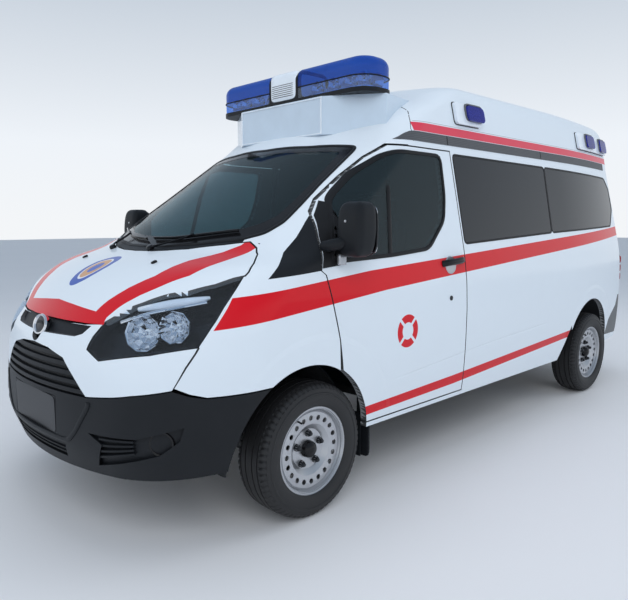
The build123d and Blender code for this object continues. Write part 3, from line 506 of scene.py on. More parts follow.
RECIPES = {
    "body_paint": lambda: make_paint(False),
    "bonnet_paint": lambda: make_paint(True),
    # near-black edge faces of the painted panels: partly the dark seals in the shut lines, partly painted shade in the
    # gaps between panels
    "gap_shade_and_seal": lambda: make_plain("gap_shade_and_seal", (0.06, 0.062, 0.065), 0.6),
    "inner_panel": lambda: make_plain("inner_panel", (0.30, 0.31, 0.32), 0.6),
    "white_shell": lambda: make_plain("white_shell", (0.72, 0.78, 0.84), 0.3, coat=0.5),
    "lamp_white": lambda: make_plain("lamp_white", (0.70, 0.72, 0.75), 0.15, coat=1.0),
    "dark_metal": lambda: make_plain("dark_metal", (0.04, 0.041, 0.045), 0.35, 0.8, grain=0.1, scale=200.0),
    "roof_band": lambda: make_ribbed("roof_band", (0.060, 0.063, 0.068), 0.010),
    "black_plastic": lambda: make_plain(
        "black_plastic", (0.009, 0.0105, 0.013), 0.46, grain=0.35, scale=700.0, shine=0.22),
    "gloss_black": lambda: make_plain("gloss_black", (0.006, 0.006, 0.007), 0.16, shine=0.3),
    "rubber": lambda: make_plain("rubber", (0.008, 0.008, 0.009), 0.45, grain=0.1, shine=0.25),
    "grey_plastic": lambda: make_plain("grey_plastic", (0.10, 0.105, 0.11), 0.5, grain=0.3, scale=600.0),
    "steel": lambda: make_plain("steel", (0.035, 0.036, 0.038), 0.5, 0.6, grain=0.2, scale=60.0),
    "silver": lambda: make_plain("silver", (0.47, 0.48, 0.50), 0.30, 0.85, grain=0.05, scale=300.0),
    "chrome": lambda: make_plain("chrome", (0.75, 0.76, 0.78), 0.08, 1.0),
    "tyre": lambda: make_plain("tyre", (0.014, 0.014, 0.015), 0.55, grain=0.3, scale=250.0, shine=0.45),
    "cloth": lambda: make_plain("cloth", (0.055, 0.057, 0.062), 0.9, grain=0.6, scale=900.0),
    "trim": lambda: make_plain("trim", (0.045, 0.046, 0.048), 0.65, grain=0.4, scale=800.0),
    "pad": lambda: make_plain("pad", (0.02, 0.05, 0.14), 0.5, grain=0.3, scale=500.0),
    "sign": lambda: make_plain("sign", (0.50, 0.60, 0.70), 0.28, coat=0.5),
    "plate": lambda: make_plain("plate", (0.014, 0.015, 0.018), 0.42, grain=0.2, scale=600.0),
    "engine": lambda: make_plain("engine", (0.10, 0.10, 0.105), 0.5, 0.7, grain=0.5, scale=30.0),
    "screen_glass": lambda: make_glass("screen_glass", (0.012, 0.020, 0.022), 0.50),
    "door_glass": lambda: make_glass("door_glass", (0.014, 0.024, 0.027), 0.42),
    "dark_glass": lambda: make_glass("dark_glass", (0.006, 0.009, 0.013), 0.06),
    "lamp_glass": lambda: make_glass("lamp_glass", (0.30, 0.32, 0.34), 0.955),
    "blue_lens": lambda: make_glass("blue_lens", (0.004, 0.008, 0.26), 0.22),
    "bar_lens": make_bar_lens,
    "red_lens": lambda: make_glass("red_lens", (0.42, 0.01, 0.01), 0.25),
}


def new_object(name, verts, faces, mats, body, index=None, crease=35.0, replaces=()):
    """A mesh piece that rides on a CAD body."""
    mesh = bpy.data.meshes.new(name)
    mesh.from_pydata([tuple(float(c) for c in v) for v in verts], [], faces)
    if index:
        mesh.polygons.foreach_set("material_index", index)
    bm = bmesh.new()
    bm.from_mesh(mesh)
    bmesh.ops.remove_doubles(bm, verts=bm.verts[:], dist=2e-6)
    bmesh.ops.dissolve_degenerate(bm, edges=bm.edges[:], dist=1e-7)
    bmesh.ops.recalc_face_normals(bm, faces=bm.faces[:])
    bm.to_mesh(mesh)
    bm.free()
    for m in mats:
        mesh.materials.append(material(m))
    mesh.polygons.foreach_set("use_smooth", [True] * len(mesh.polygons))
    mesh.set_sharp_from_angle(angle=math.radians(crease))
    obj = bpy.data.objects.new(name, mesh)
    bpy.context.scene.collection.objects.link(obj)
    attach(obj, body)
    if replaces:
        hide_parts(*replaces)
    return obj


def joined(parts):
    """Several (verts, faces) forms as one."""
    verts, faces = [], []
    for more_verts, more_faces in parts:
        start = len(verts)
        verts.extend(more_verts)
        faces.extend(tuple(i + start for i in face) for face in more_faces)
    return verts, faces


def flipped(form):
    """A form mirrored to the other side."""
    verts, faces = form
    return [(v[0], -v[1], v[2]) for v in verts], faces


def both(*forms):
    """Forms and their mirror images as one."""
    return joined([*forms, *(flipped(form) for form in forms)])


def mirrored(half):
    """A closed outline from its left half, which starts and ends on the middle line."""
    return [*half, *((x, -y) for x, y in reversed(half[1:-1]))]


def rounded(points, radius=0.03, closed=True, step=0.03):
    """A path with small arcs at its corners and its long runs divided."""
    points = [np.array(p, float) for p in points]
    turned = []
    for i, here in enumerate(points):
        if not closed and i in (0, len(points) - 1):
            turned.append(here)
            continue
        near = []
        for d in (points[i - 1] - here, points[(i + 1) % len(points)] - here):
            near.append(here + d * min(radius / np.linalg.norm(d), 0.45))
        for t in (0.0, 0.25, 0.5, 0.75, 1.0):
            turned.append(near[0] * (1 - t) ** 2 + 2 * here * t * (1 - t) + near[1] * t * t)
    path = []
    for i, here in enumerate(turned):
        if i == len(turned) - 1 and not closed:
            path.append(here)
            break
        ahead = turned[(i + 1) % len(turned)]
        parts = max(1, round(float(np.linalg.norm(ahead - here)) / step))
        path.extend(here + (ahead - here) * k / parts for k in range(parts))
    return np.array(path)


def ring_faces(rings, count, closed_along, closed_across=True):
    """Faces between rings of points, with caps where the run is open."""
    faces = []
    for i in range(rings if closed_along else rings - 1):
        j = (i + 1) % rings
        for a in range(count if closed_across else count - 1):
            b = (a + 1) % count
            faces.append((i * count + a, i * count + b, j * count + b, j * count + a))
    if not closed_along and closed_across:
        faces.append(tuple(range(count)))
        faces.append(tuple((rings - 1) * count + a for a in reversed(range(count))))
    return faces


def band(path, section, pick, closed=True):
    """A strip of one section, as (across, lift), laid along a path on a surface."""
    path = np.array(path, float)
    if closed:
        ahead = np.roll(path, -1, 0) - np.roll(path, 1, 0)
    else:
        ahead = np.gradient(path, axis=0)
    ahead /= np.maximum(np.linalg.norm(ahead, axis=1), 1e-9)[:, None]
    side = np.stack([ahead[:, 1], -ahead[:, 0]], 1)
    rows = []
    for across, lift in section:
        at = path + side * across
        rows.append(pick(at[:, 0], at[:, 1], lift)[0])
    verts = np.stack(rows, 1).reshape(-1, 3)
    return [tuple(v) for v in verts], ring_faces(len(path), len(section), closed)


def bead(half, height, base=-0.001):
    """A low rounded section for a band."""
    return [(-half, base), (-half * 0.92, height * 0.55), (-half * 0.5, height), (half * 0.5, height),
            (half * 0.92, height * 0.55), (half, base)]


def flat_strip(half, height, base=-0.001):
    """A thin flat section for a band."""
    return [(-half, base), (-half, height), (half, height), (half, base)]


def patch(outline, pick, lift, thick, step=0.04):
    """A sheet over an outline on a surface, with its rim turned in."""
    bm = bmesh.new()
    corners = [bm.verts.new((p[0], p[1], 0.0)) for p in outline]
    face = bm.faces.new(corners)
    bmesh.ops.triangulate(bm, faces=[face])
    low, high = np.min(outline, 0), np.max(outline, 0)
    for axis in (0, 1):
        at = low[axis] + step * 0.5
        while at < high[axis]:
            geom = bm.verts[:] + bm.edges[:] + bm.faces[:]
            point = (at, 0, 0) if axis == 0 else (0, at, 0)
            direction = (1, 0, 0) if axis == 0 else (0, 1, 0)
            bmesh.ops.bisect_plane(bm, geom=geom, plane_co=point, plane_no=direction)
            at += step
    bm.verts.ensure_lookup_table()
    bm.verts.index_update()
    flat = np.array([v.co[:2] for v in bm.verts])
    top = pick(flat[:, 0], flat[:, 1], lift)[0]
    under = pick(flat[:, 0], flat[:, 1], lift - thick)[0]
    count = len(flat)
    verts = [tuple(v) for v in top] + [tuple(v) for v in under]
    faces = []
    for f in bm.faces:
        ids = [v.index for v in f.verts]
        faces.append(tuple(ids))
        faces.append(tuple(i + count for i in reversed(ids)))
    for e in bm.edges:
        if len(e.link_faces) == 1:
            a, b = (v.index for v in e.verts)
            faces.append((a, b, b + count, a + count))
    bm.free()
    return verts, faces


def lathe(centre, axis, profile, parts=48, closed=False, wave=None):
    """A form turned about an axis from points (offset, radius)."""
    axis = Vector(axis).normalized()
    side = axis.cross(Vector((0, 0, 1)))
    side = side.normalized() if side.length > 0.1 else Vector((1, 0, 0))
    up = side.cross(axis)
    verts = []
    for j in range(parts):
        angle = math.tau * j / parts
        out = side * math.cos(angle) + up * math.sin(angle)
        for i, (along, radius) in enumerate(profile):
            r = radius + (wave(i, j) if wave and radius else 0.0)
            verts.append(tuple(Vector(centre) + axis * along + out * r))
    return verts, ring_faces(parts, len(profile), True, closed)


def tube(points, radius, closed=False, sides=10, flat=1.0):
    """A round or flattened bar along space points; the radius may be one for each point."""
    points = [Vector(p) for p in points]
    count = len(points)
    verts = []
    across = None
    for i, p in enumerate(points):
        before = points[i - 1] if closed or i else p
        after = points[(i + 1) % count] if closed or i < count - 1 else p
        along = (after - before).normalized()
        if across is None:
            across = along.cross(Vector((0, 0, 1)))
            across = across if across.length > 0.1 else Vector((0, 1, 0))
        across = (across - along * across.dot(along)).normalized()
        other = along.cross(across)
        r = radius[i] if isinstance(radius, (list, tuple)) else radius
        for k in range(sides):
            angle = math.tau * k / sides
            verts.append(tuple(p + (across * math.cos(angle) + other * math.sin(angle) * flat) * r))
    return verts, ring_faces(count, sides, closed)


def curve_through(points, parts=6):
    """Points on a smooth line through a few given ones."""
    points = [np.array(p, float) for p in points]
    line = []
    for i in range(len(points) - 1):
        a, b = points[i], points[i + 1]
        before = points[i - 1] if i else a
        after = points[i + 2] if i + 2 < len(points) else b
        for k in range(parts):
            t = k / parts
            line.append(0.5 * (2 * a + (b - before) * t + (2 * before - 5 * a + 4 * b - after) * t * t
                               + (3 * a - before - 3 * b + after) * t ** 3))
    line.append(points[-1])
    return [tuple(p) for p in line]


def crowned(centre, size, power=6.0, parts=6, turn=(0.0, 0.0, 0.0), shape=None):
    """A block with crowned faces and soft edges; shape may move its unit points."""
    grid = [-1 + 2 * i / parts for i in range(parts + 1)]
    grid = [math.copysign(abs(g) ** 0.8, g) for g in grid]
    spin = Euler(turn).to_matrix()
    verts, faces = [], []
    for axis in range(3):
        for sign in (-1, 1):
            start = len(verts)
            for u in grid:
                for v in grid:
                    p = [0.0, 0.0, 0.0]
                    p[axis], p[(axis + 1) % 3], p[(axis + 2) % 3] = sign, u, v
                    reach = sum(abs(c) ** power for c in p) ** (-1 / power)
                    p = [c * reach for c in p]
                    if shape:
                        p = shape(*p)
                    place = spin @ Vector([c * s / 2 for c, s in zip(p, size)])
                    verts.append(tuple(place + Vector(centre)))
            for i in range(parts):
                for j in range(parts):
                    a = start + i * (parts + 1) + j
                    faces.append((a, a + 1, a + parts + 2, a + parts + 1))
    return verts, faces


def ring_patch(outer, inner, pick, lift):
    """A thin ring on a surface between an outer and an inner loop."""
    inner = np.array(inner)
    pairs = []
    for point in outer:
        gap = np.linalg.norm(inner - point, axis=1)
        pairs.append(int(np.argmin(gap)))
    rings = []
    for across in range(4):
        share = across / 3
        at = np.array([np.array(p) * (1 - share) + inner[k] * share for p, k in zip(outer, pairs)])
        rings.append(pick(at[:, 0], at[:, 1], lift)[0])
    verts = np.stack(rings, 1).reshape(-1, 3)
    return [tuple(v) for v in verts], ring_faces(len(outer), 4, True, False)


SHELL_DEPTH = 0.005
MOVE_DEPTH = 0.060
MOVE_MOST = 0.020


def skin_panel(node, outer, inner=None, skin=BODY_SKIN, step=0.03, edge="gap_shade_and_seal"):
    """The CAD panel again, with its outer face drawn onto the smooth surface and shaded by it."""
    source = frame["nodes"][node]
    bm = bmesh.new()
    bm.from_mesh(source.data)
    bmesh.ops.remove_doubles(bm, verts=bm.verts[:], dist=1e-5)
    zs = [v.co.z for v in bm.verts]
    z = max(min(zs), skin.z[0]) + step * 0.37
    while z < min(max(zs), skin.z[-1]):
        if min(abs(skin.z - z)) > 0.006:
            geom = bm.verts[:] + bm.edges[:] + bm.faces[:]
            bmesh.ops.bisect_plane(bm, geom=geom, plane_co=(0, 0, z), plane_no=(0, 0, 1))
        z += step
    bm.verts.ensure_lookup_table()
    bm.faces.ensure_lookup_table()
    co = np.array([v.co for v in bm.verts])
    sign = np.where(co[:, 1] >= 0, 1.0, -1.0)
    dist, nx, ny = skin.field(co[:, 0], np.abs(co[:, 1]), co[:, 2])
    inside = (co[:, 2] > skin.z[0] - 0.001) & (co[:, 2] < skin.z[-1] + 0.001)
    flat = ruled_distance(skin, co)
    centres = np.array([f.calc_center_median() for f in bm.faces])
    aim = skin.normal(centres[:, 0], np.abs(centres[:, 1]), centres[:, 2])
    shell = np.abs(ruled_distance(skin, centres)) * np.hypot(aim[:, 0], aim[:, 1]) < SHELL_DEPTH
    shell &= (centres[:, 2] > skin.z[0]) & (centres[:, 2] < skin.z[-1])
    # the whole thickness moves with the outer face, and less with depth
    near = np.clip(1.5 + flat / MOVE_DEPTH, 0.0, 1.0) * inside
    move = np.clip(flat - dist, -MOVE_MOST, MOVE_MOST) * near
    co[:, 0] += move * nx
    co[:, 1] += move * ny * sign
    for v, p in zip(bm.verts, co):
        v.co = p
    normals = skin.normal(co[:, 0], np.abs(co[:, 1]), co[:, 2])
    normals[:, 1] *= sign
    loops = []
    for f in bm.faces:
        f.normal_update()
        n = f.normal
        ids = [v.index for v in f.verts]
        face_on = shell[f.index] and all(n.dot(Vector(normals[i])) > 0.7 for i in ids)
        if face_on:
            f.material_index = 0
            loops.extend([normals[i] for i in ids])
        elif n.z > 0.9 and f.calc_center_median().z > skin.z[-1] - 0.002 and skin is ROOF_SKIN:
            f.material_index = 0
            loops.extend([(0, 0, 1)] * len(ids))
        else:
            # faces off the outer skin take the near-black edge material: painted shade in the panel gaps, with the
            # seals there
            f.material_index = 1
            loops.extend([tuple(n)] * len(ids))
            centre = np.array([f.calc_center_median()])
            d = float(skin.field(centre[:, 0], np.abs(centre[:, 1]), centre[:, 2])[0][0])
            if inner and d < -0.025:
                f.material_index = 2
        f.smooth = True
    mesh = bpy.data.meshes.new(node + "_look")
    bm.to_mesh(mesh)
    bm.free()
    for m in (outer, edge, inner or edge):
        mesh.materials.append(material(m))
    mesh.normals_split_custom_set([tuple(n) for n in loops])
    obj = bpy.data.objects.new(node + "_look", mesh)
    bpy.context.scene.collection.objects.link(obj)
    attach(obj, BODY_OF[node])
    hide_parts(node)
    return obj


def ruled_distance(skin, co):
    """Distance outside the straight-ruled surface between the level sections."""
    z = np.clip(co[:, 2], skin.z[0], skin.z[-1])
    i = np.clip(np.searchsorted(skin.z, z, side="right") - 1, 0, len(skin.z) - 2)
    t = (z - skin.z[i]) / (skin.z[i + 1] - skin.z[i])
    a, _, _ = skin.field(co[:, 0], np.abs(co[:, 1]), skin.z[i])
    b, _, _ = skin.field(co[:, 0], np.abs(co[:, 1]), skin.z[i + 1])
    keep = skin.rows
    cols = skin.cols[i] * (1 - t[:, None]) + skin.cols[i + 1] * t[:, None]
    skin.rows = lambda _z: cols.T
    d, _, _ = skin.field(co[:, 0], np.abs(co[:, 1]), z)
    skin.rows = keep
    return d


def dress(node, mat, edge=0.002):
    """Gives a CAD node a material and a small rounded edge."""
    obj = frame["nodes"][node]
    obj.data.materials.clear()
    obj.data.materials.append(material(mat))
    if edge:
        soft = obj.modifiers.new("edge", "BEVEL")
        soft.width = edge
        soft.segments = 2
        soft.limit_method = "ANGLE"
        soft.angle_limit = math.radians(35)
        soft.harden_normals = False
    return obj


SIDE = BODY_SKIN.on_side
ROOF_SIDE = ROOF_SKIN.on_side
FRONT = BODY_SKIN.on_front
TOP = BODY_SKIN.on_top
BACK = BODY_SKIN.on_back
BOTH = (("left", 1), ("right", -1))

# Outlines, in metres. Side outlines are (x, z), front ones (y, z) and top ones (x, y)
DOOR_WINDOW = [
    (1.085, 1.266), (0.750, 1.290), (0.560, 1.450), (0.515, 1.600), (0.500, 1.836), (0.900, 1.836),
    (1.010, 1.808), (1.225, 1.700), (1.390, 1.584), (1.440, 1.540), (1.540, 1.330), (1.556, 1.250),
]
SIDE_PANES = [
    [(0.366, 1.309), (0.362, 1.854), (-0.868, 1.848), (-0.846, 1.362)],
    [(-0.855, 1.362), (-0.877, 1.848), (-2.215, 1.834), (-2.330, 1.740), (-2.350, 1.560), (-2.200, 1.404)],
]
REAR_PANE = [(0.070, 1.180), (0.640, 1.180), (0.540, 1.740), (0.070, 1.740)]
SCREEN = [
    (1.160, 0), (1.130, 0.350), (1.052, 0.655), (1.078, 0.673), (1.366, 0.690), (1.521, 0.711), (1.640, 0.724),
    (1.668, 0.722), (1.750, 0.690), (1.836, 0.600), (1.935, 0.400), (2.000, 0.180), (2.015, 0),
]
DOOR_SAIL = [
    (1.627, 1.222), (1.586, 1.374), (1.541, 1.473), (1.462, 1.548), (1.440, 1.540), (1.540, 1.330), (1.556, 1.250),
    (1.500, 1.256), (1.465, 1.234),
]
ROOF_BAND = [
    (0.880, 1.908), (0.845, 1.922), (0.800, 1.945), (0.755, 1.962), (0.720, 1.966), (-2.235, 1.966), (-2.235, 1.908),
]
LAMP_EDGE = [
    (2.562, 0.445, 0.893), (2.547, 0.525, 0.852), (2.433, 0.757, 0.893), (2.286, 0.889, 0.923), (2.208, 0.906, 1.024),
    (2.087, 0.895, 1.155), (2.022, 0.875, 1.209), (2.145, 0.823, 1.175), (2.242, 0.760, 1.147), (2.296, 0.694, 1.136),
    (2.373, 0.611, 1.097), (2.440, 0.523, 1.048), (2.481, 0.464, 1.006), (2.528, 0.449, 0.946),
]
LAMP_FACING = Vector((0.72, 0.62, 0.30)).normalized()
BADGE_Z = 0.952
SCREEN_RIM = [
    (1.215, 0), (1.186, 0.340), (1.120, 0.608), (1.366, 0.640), (1.521, 0.655), (1.640, 0.660), (1.710, 0.625),
    (1.775, 0.560), (1.860, 0.385), (1.918, 0.170), (1.932, 0),
]


class AmbulanceSettings(bpy.types.PropertyGroup):
    """Sizes and looks of the added pieces."""

    panel_step: FloatProperty(
        name="Panel step", description="Height between the cuts of a painted panel", default=0.03, unit="LENGTH")
    seal_half: FloatProperty(
        name="Seal half width", description="Half the width of a cab window's rubber seal", default=0.011,
        unit="LENGTH")
    seal_height: FloatProperty(
        name="Seal height", description="Height of a window seal above the panel", default=0.006, unit="LENGTH")
    sipe_depth: FloatProperty(
        name="Sipe depth", description="Depth of the cross grooves on a tyre's shoulder", default=0.007,
        unit="LENGTH")
    cushion_crown: FloatProperty(
        name="Cushion crown", description="How far a cushion swells at its middle, as a share of half its depth",
        default=0.22, subtype="FACTOR")


class AMBULANCE_OT_panels(bpy.types.Operator):
    """Paints the outer panels and draws them onto the smooth surface."""

    bl_idname = "ambulance.panels"
    bl_label = "Body panels"

    def execute(self, context):
        step = context.scene.ambulance.panel_step
        for node in (
            "front_fenders", "cab_frame", "body_side_left", "body_side_right", "sliding_door", "tail_frame",
            "rear_door_left", "rear_door_right", "door_panel_left", "door_panel_right", "front_fascia",
        ):
            skin_panel(node, "body_paint", "inner_panel", step=step)
        skin_panel("bonnet_panel", "bonnet_paint", step=step)
        for node in ("high_roof", "roof_front_cap"):
            skin_panel(node, "body_paint", "inner_panel", ROOF_SKIN, step)
        for node in ("front_bumper", "cowl_panel", "sail_panels", "grille"):
            skin_panel(node, "black_plastic", edge="black_plastic", step=step)
        skin_panel("rear_bumper", "grey_plastic", edge="grey_plastic", step=step)
        skin_panel("tail_lamps", "red_lens", edge="red_lens", step=step)
        return {"FINISHED"}


class AMBULANCE_OT_glass(bpy.types.Operator):
    """Fits the panes with their seals, dark borders and divider bars."""

    bl_idname = "ambulance.glass"
    bl_label = "Glass"

    def execute(self, context):
        settings = context.scene.ambulance
        step = settings.panel_step
        skin_panel("windscreen_glass", "screen_glass", edge="screen_glass", step=step)
        for side, _ in BOTH:
            skin_panel(f"door_glass_{side}", "door_glass", edge="door_glass", step=step)
            skin_panel(f"rear_glass_{side}", "dark_glass", edge="dark_glass", step=step)
        skin_panel("side_window_glass", "dark_glass", edge="dark_glass", step=step)
        skin_panel("headlamp_lenses", "lamp_glass", edge="lamp_glass", step=step)
        seal = bead(settings.seal_half, settings.seal_height)
        door_seal = band(rounded(DOOR_WINDOW, 0.05), seal, SIDE)
        bar = band([(1.108, 1.262), (1.075, 1.45), (1.045, 1.62), (1.012, 1.806)], bead(0.016, 0.005), SIDE, False)
        sail = patch(DOOR_SAIL, SIDE, 0.004, 0.004)
        for side, hand in BOTH:
            form = joined([door_seal, bar, sail])
            form = form if hand > 0 else flipped(form)
            new_object(f"door_window_seal_{side}", *form, ["rubber"], f"door_{side[0]}")
            rear = band(rounded(REAR_PANE, 0.03), bead(0.012, 0.004), BACK)
            rear = rear if hand > 0 else flipped(rear)
            new_object(f"rear_window_seal_{side}", *rear, ["rubber"], f"rear_door_{side[0]}")
        seams = [band(rounded(outline, 0.03), bead(0.007, 0.0025), SIDE) for outline in SIDE_PANES]
        new_object("side_window_seals", *both(*seams), ["rubber"], "body")
        around = mirrored(SCREEN)
        edge = band(rounded(around, 0.03, step=0.04), bead(0.010, 0.005), TOP)
        rim = rounded(mirrored(SCREEN_RIM), 0.02, step=0.05)
        frit = ring_patch(rounded(around, 0.01, step=0.05), rim, TOP, 0.0008)
        new_object("windscreen_edge", *edge, ["rubber"], "body")
        new_object("windscreen_border", *frit, ["gloss_black"], "body")
        return {"FINISHED"}


class AMBULANCE_OT_lamps(bpy.types.Operator):
    """Builds the headlamps, fog lamps, tail lamps and the grille's badge."""

    bl_idname = "ambulance.lamps"
    bl_label = "Lamps"

    def execute(self, context):
        edge = np.array(LAMP_EDGE)
        middle = edge.mean(0)
        facing = np.array(LAMP_FACING)
        rings = []
        for inward, depth in ((0.012, 0.007), (0.016, 0.040), (0.10, 0.075), (0.55, 0.085)):
            rings.append(edge + (middle - edge) * inward - facing * depth)
        tray = [tuple(p) for ring in rings for p in ring]
        count = len(edge)
        faces = [
            (r * count + i, r * count + (i + 1) % count, (r + 1) * count + (i + 1) % count, (r + 1) * count + i)
            for r in range(3) for i in range(count)
        ]
        faces.append(tuple(3 * count + i for i in range(count)))
        rim = tube([tuple(p - facing * 0.006 + (middle - p) * 0.02) for p in edge], 0.006, True, 8)
        new_object("headlamp_trays", *both((tray, faces), rim), ["gloss_black"], "body",
                   replaces=["front_lamp_housings"])
        bowl = [(-0.050, 0.0), (-0.048, 0.018), (-0.038, 0.036), (-0.020, 0.052), (0.0, 0.060), (0.004, 0.064),
                (0.000, 0.066), (-0.024, 0.060), (-0.054, 0.024), (-0.056, 0.0)]
        look = (0.80, 0.56, 0.16)
        chromes, glasses, darks, whites = [], [], [], []
        for centre, size, parts in (((2.402, 0.648, 0.968), 1.28, 10), ((2.318, 0.765, 0.995), 1.12, 9)):
            chromes.append(lathe(centre, look, [(a * size, r * size) for a, r in bowl], parts))
            chromes.append(lathe(centre, look, [(-0.045, 0.0), (-0.045, 0.010), (-0.016, 0.011), (-0.010, 0.006),
                                                (-0.008, 0.0)], 16))
        for k in range(5):
            z = 0.930 + 0.022 * k
            darks.append(crowned((2.372 - 0.008 * k, 0.722, z), (0.012, 0.062, 0.006), 4.0, 3,
                                 (0.0, 0.0, math.radians(-52))))
        chromes.append(tube(curve_through([(2.455, 0.560, 1.012), (2.375, 0.655, 1.052), (2.285, 0.748, 1.078),
                                           (2.190, 0.825, 1.100)]), 0.007, sides=8))
        turn_line = curve_through([(2.392, 0.600, 1.066), (2.345, 0.660, 1.078), (2.290, 0.722, 1.092),
                                   (2.225, 0.785, 1.106), (2.170, 0.820, 1.116)])
        radii = [0.006 + 0.014 * math.sin(math.pi * min(1.0, 0.08 + i / (len(turn_line) - 1) * 0.9))
                 for i in range(len(turn_line))]
        whites.append(tube(turn_line, radii, sides=12))
        fog_at, fog_look = (2.404, 0.785, 0.515), (0.77, 0.64, 0.0)
        darks.append(lathe(fog_at, fog_look, [(0.006, 0.040), (0.018, 0.046), (0.020, 0.054), (0.010, 0.058),
                                              (-0.030, 0.058)], 32))
        chromes.append(lathe(fog_at, fog_look, [(-0.030, 0.0), (-0.028, 0.014), (-0.012, 0.030), (0.008, 0.041)], 24))
        glasses.append(lathe(fog_at, fog_look, [(0.016, 0.0), (0.014, 0.020), (0.008, 0.041)], 24))
        new_object("lamp_bowls", *both(*chromes), ["chrome"], "body", crease=12.0)
        new_object("turn_lamps", *both(*whites), ["lamp_white"], "body")
        new_object("lamp_bezels", *both(*darks), ["gloss_black"], "body")
        new_object("fog_lenses", *both(*glasses), ["lamp_glass"], "body")
        at = tuple(FRONT([0.0], [BADGE_Z], 0.006)[0][0])
        look = (1, 0, 0.30)
        ring = lathe(at, look, [(-0.016, 0.046), (0.002, 0.052), (0.010, 0.048), (0.008, 0.041), (0.000, 0.038)], 48)
        face = lathe(at, look, [(0.006, 0.0), (0.005, 0.020), (0.001, 0.040)], 48)
        for name, (verts, faces), mat in (("badge_ring", ring, "chrome"), ("badge_face", face, "dark_metal")):
            wide = [(v[0], v[1] * 1.45, v[2]) for v in verts]
            new_object(name, wide, faces, [mat], "body")
        # tail lamps: three chambers, each a dome behind the lens
        cells = []
        for z, size in ((0.925, 0.075), (1.005, 0.075), (1.085, 0.075)):
            point, _ = BACK([0.806], [z], 0.001)
            cells.append(crowned(tuple(point[0]), (0.016, 0.092, size), 5.0, 6))
        new_object("tail_lamp_cells", *both(*cells), ["red_lens"], "body")
        frame_band = band(rounded([(0.752, 0.860), (0.865, 0.860), (0.860, 1.140), (0.745, 1.140)], 0.02),
                          bead(0.006, 0.003), BACK)
        new_object("tail_lamp_edges", *both(frame_band), ["rubber"], "body")
        point, _ = BACK([0.0], [1.885], 0.004)
        new_object("high_stop_lamp", *crowned(tuple(point[0]), (0.016, 0.26, 0.022), 6.0, 5), ["red_lens"], "body")
        return {"FINISHED"}


class AMBULANCE_OT_front(bpy.types.Operator):
    """Adds the bumper's panel and slats, the wipers and the washer nozzles."""

    bl_idname = "ambulance.front"
    bl_label = "Front fittings"

    def execute(self, context):
        hexagon = [(-0.481, 0.664), (-0.481, 0.646), (-0.393, 0.519), (-0.330, 0.466), (0.330, 0.466), (0.393, 0.519),
                   (0.481, 0.646), (0.481, 0.664)]
        parts = [band(rounded(hexagon, 0.03, False), bead(0.012, 0.006), FRONT, False)]
        for z in (0.392, 0.414, 0.436):
            line = [(y, z) for y in np.linspace(-0.285, 0.285, 14)]
            parts.append(band(line, bead(0.005, -0.006, -0.016), FRONT, False))
        for k in range(4):
            low, high = (0.52 + 0.008 * k, 0.425 + 0.030 * k), (0.715, 0.470 + 0.018 * k)
            line = [np.array(low) * (1 - t) + np.array(high) * t for t in np.linspace(0, 1, 9)]
            for hand in (1, -1):
                parts.append(band([(p[0] * hand, p[1]) for p in line], bead(0.005, -0.004, -0.016), FRONT, False))
        new_object("bumper_panel_edge", *joined(parts), ["black_plastic"], "body")
        blade_paths = ([(1.958, 0.02), (1.940, 0.20), (1.880, 0.38), (1.800, 0.555)],
                       [(1.775, -0.610), (1.868, -0.420), (1.938, -0.220), (1.966, -0.045)])
        arms = ([(2.040, 0.105), (2.000, 0.180), (1.950, 0.270), (1.905, 0.325)],
                [(2.030, -0.330), (1.985, -0.380), (1.925, -0.350), (1.900, -0.330)])
        pieces = []
        for path, arm in zip(blade_paths, arms):
            line = np.array(curve_through([(x, y, 0) for x, y in path], 8))
            for lift, radius in ((0.007, 0.004), (0.016, 0.006)):
                points = TOP(line[:, 0], line[:, 1], lift)[0]
                pieces.append(tube([tuple(p) for p in points], radius, sides=8))
            line = np.array(curve_through([(x, y, 0) for x, y in arm], 6))
            lifts = np.linspace(0.012, 0.026, len(line))
            points = TOP(line[:, 0], line[:, 1], lifts)[0]
            radii = [0.010] * 4 + [0.007] * (len(points) - 4)
            pieces.append(tube([tuple(p) for p in points], radii, sides=8, flat=0.7))
            base = points[0]
            pieces.append(lathe(tuple(base), (0.5, 0, 0.85), [(-0.014, 0.019), (0.004, 0.019), (0.010, 0.014),
                                                              (0.012, 0.0)], 20))
        new_object("wipers", *joined(pieces), ["gloss_black"], "body")
        nozzles = []
        for y in (-0.375, 0.375):
            point, direction = TOP([2.178], [y], 0.003)
            nozzles.append(crowned(tuple(point[0]), (0.030, 0.022, 0.014), 4.0, 5, (0.0, math.radians(25), 0.0)))
        new_object("washer_nozzles", *joined(nozzles), ["gloss_black"], "bonnet")
        flap = crowned((1.268, 0.868, 0.300), (0.012, 0.184, 0.220), 8.0, 8)
        new_object("front_mud_flaps", *both(flap), ["black_plastic"], "body")
        holder = frame["nodes"]["front_plate"]
        corners = [holder.matrix_world @ Vector(c) for c in holder.bound_box]
        middle = (max(c.x for c in corners) + 0.001, 0.0, sum(c.z for c in corners) / 8)
        form = crowned(middle, (0.005, 0.478, 0.173), 14.0, 8)
        new_object("front_plate_face", *form, ["plate"], "body")
        return {"FINISHED"}


